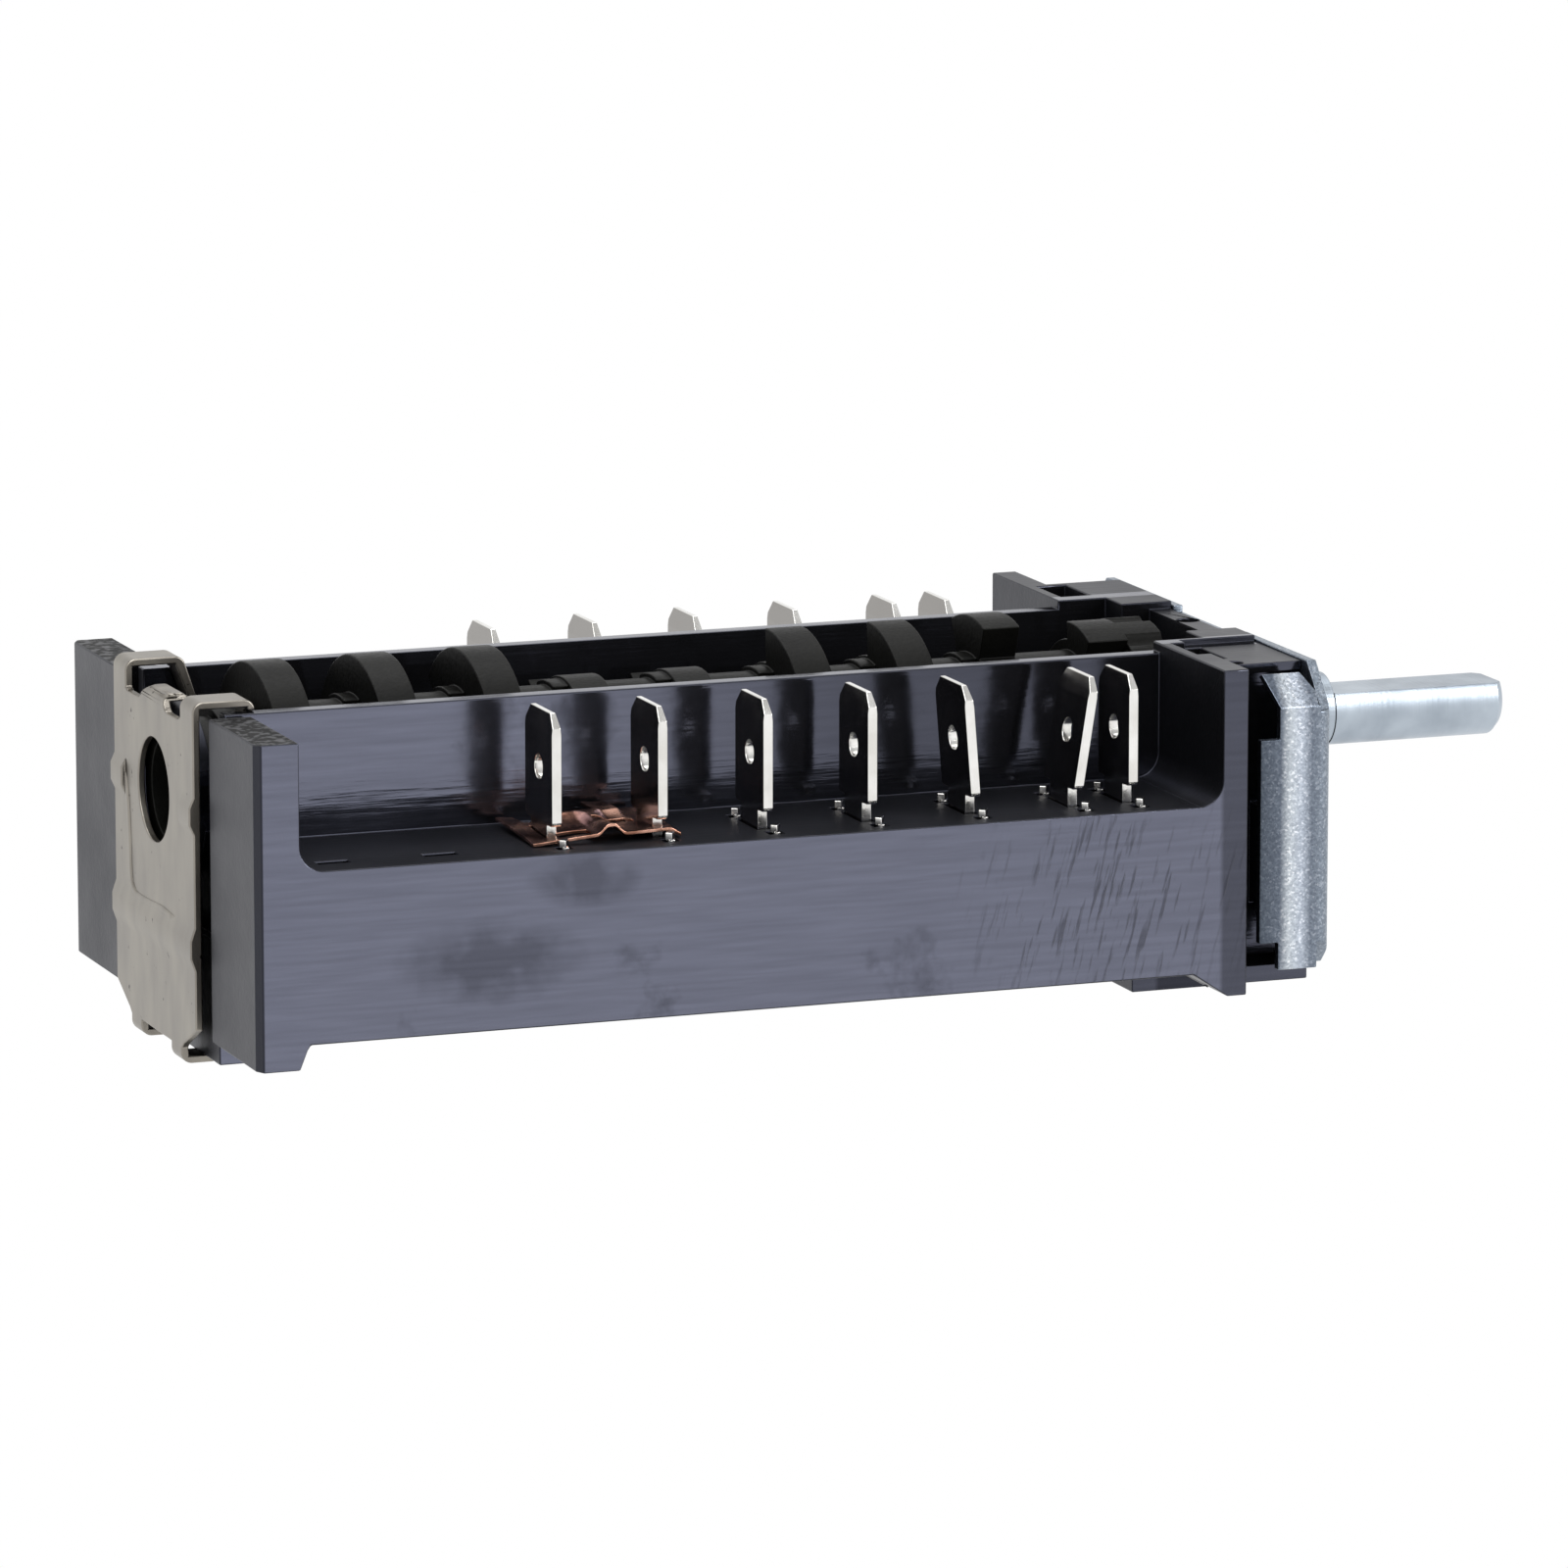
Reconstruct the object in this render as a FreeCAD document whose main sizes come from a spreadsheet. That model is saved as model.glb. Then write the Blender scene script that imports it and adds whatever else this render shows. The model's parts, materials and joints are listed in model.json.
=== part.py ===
# Rotary cam selector switch of a cooker: eight cams on one shaft in a long moulded housing,
# blade terminals in an open bay down each side, leaf contacts under the bay floors.
# Millimetres. +X runs along the control shaft, away from the mounting panel, +Z is up,
# and the origin is on the shaft's axis in the plane of the bracket's mounting face.
import FreeCAD, Part
import Sketcher
import math
import os

Vector = FreeCAD.Vector
doc = FreeCAD.newDocument("cam_selector_switch")

# Driving sizes: alias, millimetres (or degrees, or a count), meaning
SIZES = [
    ("bracket_sheet", 0.8, "thickness of the front bracket's steel"),
    ("housing_length", 87.5, "housing, rear face to bracket"),
    ("housing_width", 48.7, "housing across the two outer faces"),
    ("axis_to_foot", 17.55, "shaft axis down to the feet"),
    ("axis_to_wall_top", 7.63, "shaft axis up to the long inner walls' tops"),
    ("axis_to_block_top", 8.38, "shaft axis up to the front block's top"),
    ("axis_to_floor", 2.3, "shaft axis down to the terminal floors"),
    ("foot_drop", 1.9, "feet below the outer walls' lower edge"),
    ("keel_drop", 2.1, "end keels below the feet"),
    ("floor_thick", 1.5, "terminal floor"),
    ("outer_wall", 1.5, "outer wall"),
    ("inner_wall", 1.45, "long inner wall beside the cam trough"),
    ("trough_half", 9.95, "half the cam trough's width"),
    ("trough_depth", 10.1, "shaft axis down to the trough's bottom"),
    ("trough_base", 1.5, "thickness of the trough's bottom"),
    ("post_length", 3.4, "rear corner posts along the shaft"),
    ("post_inner_half", 12.4, "shaft axis out to a rear post's inner side"),
    ("post_chamfer", 0.8, "bevel on the posts' outer corners"),
    ("end_recess", 1.6, "rear wall of the trough behind the posts' end faces"),
    ("end_wall", 2.0, "rear wall of the trough"),
    ("column_setback", 6.5, "front columns behind the bracket"),
    ("column_length", 2.1, "front columns along the shaft"),
    ("block_half", 17.6, "half the front block's width"),
    ("block_sill", 21.3, "half the width of the block's lowest slab"),
    ("sill_height", 1.4, "that slab's height"),
    ("roof_half", 19.6, "half the width of the block's near roof"),
    ("roof_thick", 0.8, "that roof's thickness"),
    ("roof_drop", 0.5, "near roof below the columns' tops"),
    ("bridge_drop", 0.65, "bridge below the columns' tops"),
    ("bridge_half", 6.6, "half the bridge's width between its two raised ends"),
    ("raised_end", 10.4, "outer edge of the raised end beside the near roof"),
    ("bridge_length", 1.9, "bridge across the front of the trough, along the shaft"),
    ("shoulder_length", 4.4, "raised ends of the bridge, along the shaft"),
    ("drum_setback", 5.1, "detent drum behind the housing's front face"),
    ("recess_radius", 0.9, "small recess in the bridge"),
    ("recess_depth", 1.6, "that recess's depth"),
    ("bay_corner", 2.0, "rounded lower corners of a terminal bay"),
    ("rib_thick", 1.0, "partition under the floor between two stages"),
    ("keel_length", 4.2, "end keels along the shaft"),
    ("keel_setback", 0.9, "rear keel in front of the rear face"),
    ("front_keel_setback", 4.0, "front keel behind the housing's front face"),
    ("front_keel_length", 6.8, "front keel along the shaft"),
    ("cam_radius", 9.5, "cam, high"),
    ("cam_low", 6.75, "cam, low"),
    ("cam_cutter", 15.0, "reach of the wedges that shape the cams"),
    ("cam_thick", 3.1, "cam along the shaft"),
    ("cam_pitch", 8.6, "cam to cam"),
    ("first_cam", 8.5, "first cam's middle from the housing's rear face"),
    ("cam_count", 8, "cams on the shaft"),
    ("empty_stages", 2, "rear stages that carry no contacts"),
    ("hub_radius", 6.1, "camshaft between the cams"),
    ("collar_radius", 6.5, "collar beside each cam"),
    ("collar_thick", 1.2, "collar along the shaft"),
    ("drum_radius", 8.4, "detent drum"),
    ("drum_length", 6.5, "detent drum along the shaft"),
    ("drum_low", 7.0, "drum's rear part, low"),
    ("groove_depth", 0.45, "detent groove"),
    ("detent_count", 12, "detent positions in a turn"),
    ("journal_radius", 5.4, "rear journal of the camshaft"),
    ("front_journal", 4.6, "front journal of the camshaft"),
    ("running_gap", 0.06, "radial gap of a journal in its bearing"),
    ("end_play", 0.3, "camshaft along the shaft, at each end"),
    ("socket_radius", 3.8, "core hole in the rear journal"),
    ("socket_depth", 9.0, "core hole's depth"),
    ("shaft_radius", 3.0, "control shaft"),
    ("shaft_reach", 24.6, "control shaft beyond the mounting face"),
    ("flat_length", 15.0, "flat at the shaft's end"),
    ("flat_depth", 1.4, "flat below the shaft's top"),
    ("flat_relief", 0.02, "flatted stretch smaller in radius than the round stretch"),
    ("shaft_step", 0.35, "shaft's inner end smaller in radius than its outer end"),
    ("shaft_engaged", 24.0, "control shaft inside the switch"),
    ("shaft_chamfer", 0.6, "bevel at the shaft's end"),
    ("shaft_hole_gap", 0.5, "bracket's shaft hole larger in radius than the shaft"),
    ("screw_spacing", 28.0, "fixing screws, middle to middle"),
    ("screw_hole", 1.65, "radius of a fixing thread's core, M4"),
    ("collar_wall", 0.85, "wall of the drawn collar round a thread"),
    ("collar_depth", 1.6, "drawn collar behind the bracket"),
    ("screw_pocket", 3.2, "radius of the pocket behind a fixing thread"),
    ("bracket_inset", 0.05, "bracket's flanges inside the housing's outer faces"),
    ("bracket_below", 15.8, "bracket below the shaft axis"),
    ("bracket_bend", 1.3, "outer bend radius of the bracket"),
    ("bracket_above", 8.05, "bracket above the shaft axis"),
    ("flange_length", 6.2, "bracket flange behind the mounting face"),
    ("flange_narrow", 4.6, "flange behind the mounting face, above its step"),
    ("flange_step", 2.6, "flange's step above the axis"),
    ("flange_top", 5.1, "top of the flange's upright part above the axis"),
    ("lean_in", 2.0, "how far the flange's top leans inwards"),
    ("lean_rise", 2.4, "how far the leaning top rises"),
    ("bracket_notch", 6.6, "half the notch in the bracket's upper edge"),
    ("notch_shift", 0.4, "that notch off the middle, towards the near side"),
    ("notch_depth", 0.55, "depth of that notch"),
    ("corner_drop", 3.4, "cut upper corner of the bracket, downwards"),
    ("corner_run", 3.7, "cut upper corner of the bracket, sideways"),
    ("low_corner", 2.1, "cut lower corner of the bracket, both ways"),
    ("tab_width", 6.3, "blade terminal across"),
    ("tab_thick", 0.8, "blade terminal's thickness"),
    ("tab_top", 7.9, "blade tips above the axis"),
    ("tab_shoulder", 0.85, "blade shoulders below the axis"),
    ("tab_neck", 3.7, "neck under the blade"),
    ("neck_gap", 0.45, "room beside the neck in its slot"),
    ("tab_centre", 18.3, "shaft axis out to a blade's middle"),
    ("near_offset", 0.8, "near blade behind its cam's middle"),
    ("far_offset", 1.7, "far blade behind its cam's middle"),
    ("lug_height", 0.6, "locking lugs above the floor"),
    ("tab_hole", 0.95, "radius of the latch hole in a blade"),
    ("tab_hole_drop", 4.5, "latch hole below the tip"),
    ("tip_cut", 0.9, "cut corners of a blade's tip"),
    ("tip_bevel", 1.6, "length of the bevel at a blade's tip"),
    ("tip_thin", 0.2, "bevel's depth on each face"),
    ("feed_offset", 4.6, "supply terminal beyond the last stage's blade"),
    ("foot_reach", 1.6, "terminal's foot in front of its cam's middle"),
    ("slot_gap", 0.15, "room round a piece in its slot"),
    ("yoke_gap", 0.1, "room between a terminal's foot and the floor above it"),
    ("leg_drop", 3.7, "terminal's leg below its foot"),
    ("toe_length", 3.0, "terminal's toe, on which its leaf is welded"),
    ("leaf_thick", 0.3, "contact leaf"),
    ("leaf_width", 3.0, "contact leaf along the shaft"),
    ("leaf_reach", 6.1, "leaf's free end from the axis, sideways"),
    ("contact_room", 0.25, "room at the middle of a shut contact"),
    ("contact_opening", 0.66, "further room when a contact is open"),
    ("contact_radius", 1.2, "contact rivet"),
    ("contact_height", 0.6, "moving contact rivet's head"),
    ("fixed_height", 0.3, "fixed contact rivet's head"),
    ("contact_centre", 13.9, "shaft axis out to the contacts"),
    ("bar_thick", 0.8, "supply bar"),
    ("bar_width", 2.8, "supply bar across"),
    ("bar_drop", 5.5, "supply bar's top below the axis"),
    ("link_thick", 0.3, "copper link"),
    ("link_overhang", 1.9, "copper link beyond the blades it joins"),
    ("link_near_edge", 21.4, "copper link's outer edge from the axis"),
    ("link_far_edge", 15.3, "copper link's inner edge from the axis"),
    ("link_tail", 12.3, "inner edge of the link's wide part from the axis"),
    ("link_lift", 0.45, "copper link above the floor between the blades"),
    ("hump_height", 0.75, "hump in the copper link"),
    ("hump_width", 2.0, "hump along the shaft"),
    ("plate_sheet", 0.6, "rear plate"),
    ("plate_half", 10.5, "half the rear plate's width"),
    ("plate_hole", 4.1, "radius of the rear plate's hole"),
    ("plate_proud", 0.7, "rear plate beyond the posts' end faces"),
    ("plate_low", 1.55, "rear plate's lower edge below the feet"),
    ("bead_height", 0.35, "pressed beads stand out from the rear plate"),
    ("bead_half", 1.7, "half a bead's width"),
    ("long_bead_drop", 10.7, "bead across the rear plate below the axis"),
    ("side_bead_drop", 0.3, "two short beads at the plate's edges below the axis"),
    ("side_bead_length", 3.0, "those beads' length"),
    ("near_hook_reach", 5.0, "near upper hook from the rear plate's face"),
    ("far_hook_reach", 4.7, "far upper hook from the rear plate's face"),
    ("near_hook_rise", 0.35, "near upper hook above the trough's rear wall"),
    ("far_hook_rise", 0.75, "far upper hook above the trough's rear wall"),
    ("near_hook_slant", 0.1, "lean of the near upper hook's end"),
    ("far_hook_slant", 1.3, "lean of the far upper hook's end"),
    ("hook_fall", 2.6, "upper hooks down inside the trough"),
    ("hook_width", 3.3, "upper hooks across"),
    ("tongue_rise", 0.3, "tongue between the upper hooks above the wall behind it"),
    ("tongue_reach", 2.15, "tongue from the rear plate's face"),
    ("tongue_near", 2.7, "tongue's near edge from the middle"),
    ("tongue_far", 1.7, "tongue's far edge from the middle"),
    ("notch_drop", 1.0, "notches beside the tongue below the wall's top"),
    ("foot_hook", 2.7, "lower hooks under the keel"),
    ("foot_hook_width", 2.7, "lower hooks across"),
    ("foot_hook_centre", 5.3, "lower hooks from the middle"),
    ("cover_thick", 1.0, "insulating base cover"),
    ("cover_seat", 14.0, "shaft axis down to the base cover"),
    ("cover_gap", 0.2, "base cover clear of the walls"),
    ("pin_radius", 0.9, "base cover's moulded pins"),
    ("pin_head", 0.3, "pins beyond the base cover"),
    ("ball_radius", 1.6, "detent ball"),
    ("ball_gap", 0.12, "detent ball off its groove"),
    ("ball_bore_gap", 0.08, "detent ball in its bore"),
    ("detent_back", 7.2, "detent balls behind the mounting face"),
    ("slot_length", 2.5, "block slot along the shaft"),
    ("slot_inner", 11.5, "block slot's inner end from the axis"),
    ("slot_outer", 16.8, "block slot's outer end from the axis"),
    ("slot_floor", 2.4, "block slot's floor below the axis"),
    ("spring_radius", 0.95, "detent spring, to its wire's middle"),
    ("spring_wire", 0.2, "radius of the detent spring's wire"),
    ("spring_turns", 6, "turns of a detent spring"),
]
CELLS = {"sizes": 0, "layout": 0}


def add_sheet(name):
    """An empty spreadsheet that the model's formulas can name."""
    return doc.addObject("Spreadsheet::Sheet", name)


def write_cell(sheet, alias, content, meaning):
    """Put one aliased value, or one formula, on the sheet's next row."""
    CELLS[sheet.Name] += 1
    row = CELLS[sheet.Name]
    sheet.set(f"A{row}", meaning)
    sheet.set(f"B{row}", content)
    sheet.setAlias(f"B{row}", alias)


class Term:
    """A number together with the formula that gives it, so that every size stays bound."""

    def __init__(self, value, text):
        self.value = float(value)
        self.text = text

    def joined(self, sign, other, value):
        return Term(value, f"({self.text} {sign} {formula(other)})")

    def __add__(self, other):
        return self.joined("+", other, self.value + number(other))

    def __sub__(self, other):
        return self.joined("-", other, self.value - number(other))

    def __mul__(self, other):
        return self.joined("*", other, self.value * number(other))

    def __truediv__(self, other):
        return self.joined("/", other, self.value / number(other))

    def __radd__(self, other):
        return self + other

    def __rmul__(self, other):
        return self * other

    def __rsub__(self, other):
        return (-self) + other

    def __neg__(self):
        return self * -1


def number(item):
    """The plain number in a term, or the number itself."""
    return item.value if isinstance(item, Term) else float(item)


def formula(item):
    """The formula in a term, or the number written out."""
    return item.text if isinstance(item, Term) else f"{float(item):.6f}"


sizes_sheet = add_sheet("sizes")
layout_sheet = add_sheet("layout")
S = {}
for alias, amount, meaning in SIZES:
    write_cell(sizes_sheet, alias, str(amount), meaning)
    S[alias] = Term(amount, "sizes." + alias)


def place(alias, term, meaning):
    """Keep a worked-out place on the layout sheet and return a short term that names it."""
    write_cell(layout_sheet, alias, "=" + formula(term), meaning)
    return Term(number(term), "layout." + alias)


# Places that several pieces share
front = place("front", -S["bracket_sheet"], "housing's front face")
rear = place("rear", front - S["housing_length"], "housing's rear face")
column_front = place("column_front", front - S["column_setback"], "columns' front side")
block_rear = place("block_rear", column_front - S["column_length"], "front block's rear side")
bridge_rear = place("bridge_rear", front - S["bridge_length"], "bridge's rear side")
side = place("side", S["housing_width"] / 2, "outer face")
bracket_half = place("bracket_half", side - S["bracket_inset"], "bracket's flanges, outer face")
cavity_side = place("cavity_side", side - S["outer_wall"], "outer wall's inner face")
wall_side = place("wall_side", S["trough_half"] + S["inner_wall"], "inner wall's bay side")
foot_level = place("foot_level", -S["axis_to_foot"], "feet")
wall_low = place("wall_low", foot_level + S["foot_drop"], "outer walls' lower edge")
keel_low = place("keel_low", foot_level - S["keel_drop"], "keels' lower side")
floor_top = place("floor_top", -S["axis_to_floor"], "terminal floor's upper side")
floor_under = place("floor_under", floor_top - S["floor_thick"], "terminal floor's lower side")
trough_top = place("trough_top", -S["trough_depth"], "trough's bottom, upper side")
trough_under = place("trough_under", trough_top - S["trough_base"], "trough's bottom, lower side")
cover_top = place("cover_top", -S["cover_seat"], "base cover's upper side")
cover_low = place("cover_low", cover_top - S["cover_thick"], "base cover's lower side")
end_rear = place("end_rear", rear + S["end_recess"], "trough's rear wall, outside")
end_front = place("end_front", end_rear + S["end_wall"], "trough's rear wall, inside")
bay_rear = place("bay_rear", rear + S["post_length"], "bay's rear end")
keel_front = place("keel_front", rear + S["keel_setback"] + S["keel_length"], "rear keel's front side")
keel_start = place("keel_start", front - S["front_keel_setback"] - S["front_keel_length"],
                   "front keel's rear side")
shoulder_rear = place("shoulder_rear", front - S["shoulder_length"], "rear side of the bridge's raised ends")
block_top = place("block_top", S["axis_to_block_top"] - S["roof_drop"], "near roof of the front block")
bridge_top = place("bridge_top", S["axis_to_block_top"] - S["bridge_drop"], "bridge's upper side")
drum_front = place("drum_front", front - S["drum_setback"], "detent drum's front side")
nose_front = place("nose_front", bridge_rear - S["end_play"], "camshaft's front shoulder")
drum_rear = place("drum_rear", drum_front - S["drum_length"], "detent drum's rear side")
journal_rear = place("journal_rear", rear + S["end_play"], "camshaft's rear end")
yoke_top = place("yoke_top", floor_under - S["yoke_gap"], "terminals' feet, upper side")
yoke_low = place("yoke_low", yoke_top - S["tab_thick"], "terminals' feet, lower side")
leg_low = place("leg_low", yoke_low - S["leg_drop"], "terminals' legs, lower end")
ball_rest = place("ball_rest", S["drum_radius"] - S["groove_depth"] + S["ball_radius"]
                  + S["ball_gap"], "detent ball's middle at rest")
link_low = place("link_low", floor_top + S["link_lift"], "copper link's lower side")
yoke_out = place("yoke_out", cavity_side - S["slot_gap"] - 0.1, "terminals' feet, outer edge")
yoke_in = place("yoke_in", S["tab_centre"] - S["tab_width"] / 2 - 0.9, "terminals' feet, inner edge")
leaf_fixed = place("leaf_fixed", yoke_out - S["toe_length"], "inner ends of the terminals' toes")
fixed_low = place("fixed_low", -S["bar_drop"] - S["bar_thick"] - S["fixed_height"], "fixed contacts' faces")
spring_end = place("spring_end", S["slot_outer"], "outer end of the detent springs")

SIDES = (("near", -1), ("far", 1))
OFFSETS = {"near": S["near_offset"], "far": S["far_offset"]}
CAMS = int(number(S["cam_count"]))
EMPTY = int(number(S["empty_stages"]))
DETENTS = int(number(S["detent_count"]))

# Each cam's low stretches: middle and half width in degrees, counted from +Y towards +Z.
# The leaves meet their cams at about 225 degrees on the near side and 315 on the far side.
LOW_STRETCHES = [
    [(200, 24)],
    [(340, 24)],
    [(228, 26), (20, 20)],
    [(95, 62), (310, 24)],
    [(95, 62), (228, 26)],
    [(58, 30), (312, 26)],
    [(58, 30), (228, 26)],
    [(40, 26), (140, 30), (312, 26)],
]
# The same for the rear part of the detent drum
DRUM_STRETCHES = [(60, 24), (141, 23), (240, 24), (320, 24)]
SHUT_STAGES = {"near": (3, 5, 7), "far": (4, 6, 8)}


def cam_middle(stage):
    """Middle of a cam along the shaft; stages count from 1 at the rear."""
    return rear + S["first_cam"] + S["cam_pitch"] * (stage - 1)


def tab_middle(label, stage):
    """Middle of a stage's blade along the shaft, on one side."""
    return cam_middle(stage) - OFFSETS[label]


def block(name, across_x, across_y, across_z):
    """Box between a low and a high place along each axis."""
    box = doc.addObject("Part::Box", name)
    spans = (("Length", "x", across_x), ("Width", "y", across_y), ("Height", "z", across_z))
    for edge, axis, (low, high) in spans:
        box.setExpression(edge, formula(high - low))
        box.setExpression("Placement.Base." + axis, formula(low))
    return box


TURNS = {
    "x": FreeCAD.Rotation(Vector(0, 1, 0), 90),
    "y": FreeCAD.Rotation(Vector(1, 0, 0), -90),
    "z": FreeCAD.Rotation(),
}


def rod(name, axis, radius, low, high, centre):
    """Cylinder along an axis; centre gives the two other coordinates in X, Y, Z order."""
    cylinder = doc.addObject("Part::Cylinder", name)
    cylinder.Placement = FreeCAD.Placement(Vector(0, 0, 0), TURNS[axis])
    cylinder.setExpression("Radius", formula(radius))
    cylinder.setExpression("Height", formula(high - low))
    others = [letter for letter in "xyz" if letter != axis]
    for letter, term in zip([axis] + others, (low,) + tuple(centre)):
        cylinder.setExpression("Placement.Base." + letter, formula(term))
    return cylinder


def corner_arc(before, at, after, radius):
    """Start, end and middle of the arc that rounds a corner, as plain vectors."""
    to_before = (before - at).normalize()
    to_after = (after - at).normalize()
    half = to_before.getAngle(to_after) / 2
    reach = radius / math.tan(half)
    middle = at + (to_before + to_after).normalize() * (radius / math.sin(half))
    return at + to_before * reach, at + to_after * reach, middle


def draw_outline(sketch, corners):
    """Closed outline through corners (u, v) or (u, v, radius), every one bound by formulas."""
    def bind(kind, geometry, spot, term):
        limit = sketch.addConstraint(Sketcher.Constraint(kind, -1, 1, geometry, spot, number(term)))
        sketch.setExpression(f"Constraints[{limit}]", formula(term))

    spots = [Vector(number(corner[0]), number(corner[1]), 0) for corner in corners]
    count = len(spots)
    joints = []
    for index, corner in enumerate(corners):
        at = spots[index]
        if len(corner) == 3:
            joints.append(corner_arc(spots[index - 1], at, spots[(index + 1) % count], number(corner[2])))
        else:
            joints.append((at, at, None))
    lines = []
    for index in range(count):
        start = joints[index][1]
        finish = joints[(index + 1) % count][0]
        lines.append(sketch.addGeometry(Part.LineSegment(start, finish), False))
    for index, corner in enumerate(corners):
        last, following = lines[index - 1], lines[index]
        start, finish, middle = joints[index]
        if middle is None:
            sketch.addConstraint(Sketcher.Constraint("Coincident", last, 2, following, 1))
            bind("DistanceX", following, 1, corner[0])
            bind("DistanceY", following, 1, corner[1])
            continue
        first = math.atan2(start.y - middle.y, start.x - middle.x)
        second = math.atan2(finish.y - middle.y, finish.x - middle.x)
        ahead = (second - first) % (2 * math.pi) < math.pi
        angles = (first, second) if ahead else (second, first)
        circle = Part.Circle(middle, Vector(0, 0, 1), number(corner[2]))
        arc = sketch.addGeometry(Part.ArcOfCircle(circle, *angles), False)
        ends = (1, 2) if ahead else (2, 1)
        sketch.addConstraint(Sketcher.Constraint("Tangent", last, 2, arc, ends[0]))
        sketch.addConstraint(Sketcher.Constraint("Tangent", arc, ends[1], following, 1))
        limit = sketch.addConstraint(Sketcher.Constraint("Radius", arc, number(corner[2])))
        sketch.setExpression(f"Constraints[{limit}]", formula(corner[2]))
        point = sketch.addGeometry(Part.Point(spots[index]), True)
        bind("DistanceX", point, 1, corner[0])
        bind("DistanceY", point, 1, corner[1])
        for line in (last, following):
            sketch.addConstraint(Sketcher.Constraint("PointOnObject", point, 1, line))


def prism(name, plane, corners, low, high):
    """Body with one pad: an outline on a main plane, filled from low to high across it."""
    body = doc.addObject("PartDesign::Body", name)
    support = [item for item in body.Origin.OriginFeatures if item.Role == plane + "_Plane"][0]
    sketch = body.newObject("Sketcher::SketchObject", name + "_outline")
    sketch.AttachmentSupport = (support, [""])
    sketch.MapMode = "FlatFace"
    sketch.setExpression("AttachmentOffset.Base.z", formula(-high if plane == "XZ" else low))
    draw_outline(sketch, corners)
    pad = body.newObject("PartDesign::Pad", name + "_pad")
    pad.Profile = sketch
    pad.setExpression("Length", formula(high - low))
    body.Tip = pad
    return body


def joined(name, pieces):
    """One solid from several that touch or overlap."""
    if len(pieces) == 1:
        return pieces[0]
    fuse = doc.addObject("Part::MultiFuse", name)
    fuse.Shapes = pieces
    fuse.Refine = True
    return fuse


def without(name, base, tools):
    """The base less every tool."""
    cut = doc.addObject("Part::Cut", name)
    cut.Base = base
    cut.Tool = joined(name + "_tools", tools)
    cut.Refine = True
    return cut


def swap(sign, low, high):
    """A span measured outwards from the middle plane, on the near or the far side."""
    return (low, high) if sign > 0 else (-high, -low)


def mirrored_corners(sign, corners):
    """Outline corners with their sideways coordinate on the near or the far side."""
    return [(corner[0] * sign,) + tuple(corner[1:]) for corner in corners]


def block_outline():
    """Front block seen along the shaft: slab, body, bridge with its raised ends, and the near roof."""
    half = S["block_half"]
    sill = S["block_sill"]
    low = foot_level + 0.25
    top = S["axis_to_block_top"]
    return [
        (-sill, low), (sill, low), (sill, low + S["sill_height"]), (half, low + S["sill_height"]), (half, top),
        (S["bridge_half"], top), (S["bridge_half"], bridge_top), (-S["bridge_half"], bridge_top),
        (-S["bridge_half"], top), (-S["raised_end"], top), (-S["raised_end"], block_top),
        (-S["roof_half"], block_top), (-S["roof_half"], block_top - S["roof_thick"]),
        (-half, block_top - S["roof_thick"]), (-half, low + S["sill_height"]), (-sill, low + S["sill_height"])]


def housing_shell():
    """Outer walls, floors, posts, columns and front block before anything is cut out."""
    solids = [
        block("tub", (rear, column_front), (-side, side), (wall_low, floor_top)),
        prism("front_block", "YZ", block_outline(), block_rear, front),
    ]
    for label, sign in SIDES:
        solids.append(block("inner_wall_" + label, (end_rear, block_rear + 1),
                            swap(sign, S["trough_half"], wall_side), (cover_top, S["axis_to_wall_top"])))
        solids.append(block("post_" + label, (rear, bay_rear), swap(sign, S["post_inner_half"], side),
                            (wall_low, S["axis_to_wall_top"])))
        solids.append(block("column_" + label, (block_rear, column_front), swap(sign, S["trough_half"], side),
                            (wall_low, S["axis_to_block_top"])))
        foot_span = swap(sign, S["post_inner_half"], side)
        solids.append(prism("rear_foot_" + label, "XZ", [
            (rear, foot_level), (bay_rear - 0.1, foot_level), (bay_rear + 0.5, foot_level + 1.5),
            (bay_rear + 0.9, wall_low + 0.2), (rear, wall_low + 0.2)], *foot_span))
        solids.append(prism("front_foot_" + label, "XZ", [
            (column_front, foot_level), (block_rear + 0.5, foot_level), (block_rear - 2.4, wall_low),
            (block_rear - 2.4, wall_low + 0.2), (column_front, wall_low + 0.2)], *foot_span))
        solids.append(block("side_pad_" + label, (front - 3.4, front - 1.4),
                            swap(sign, S["block_half"] - 0.5, bracket_half - S["bracket_sheet"]),
                            (foot_level + 6, foot_level + 14)))
    return joined("housing_solid", solids)


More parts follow.
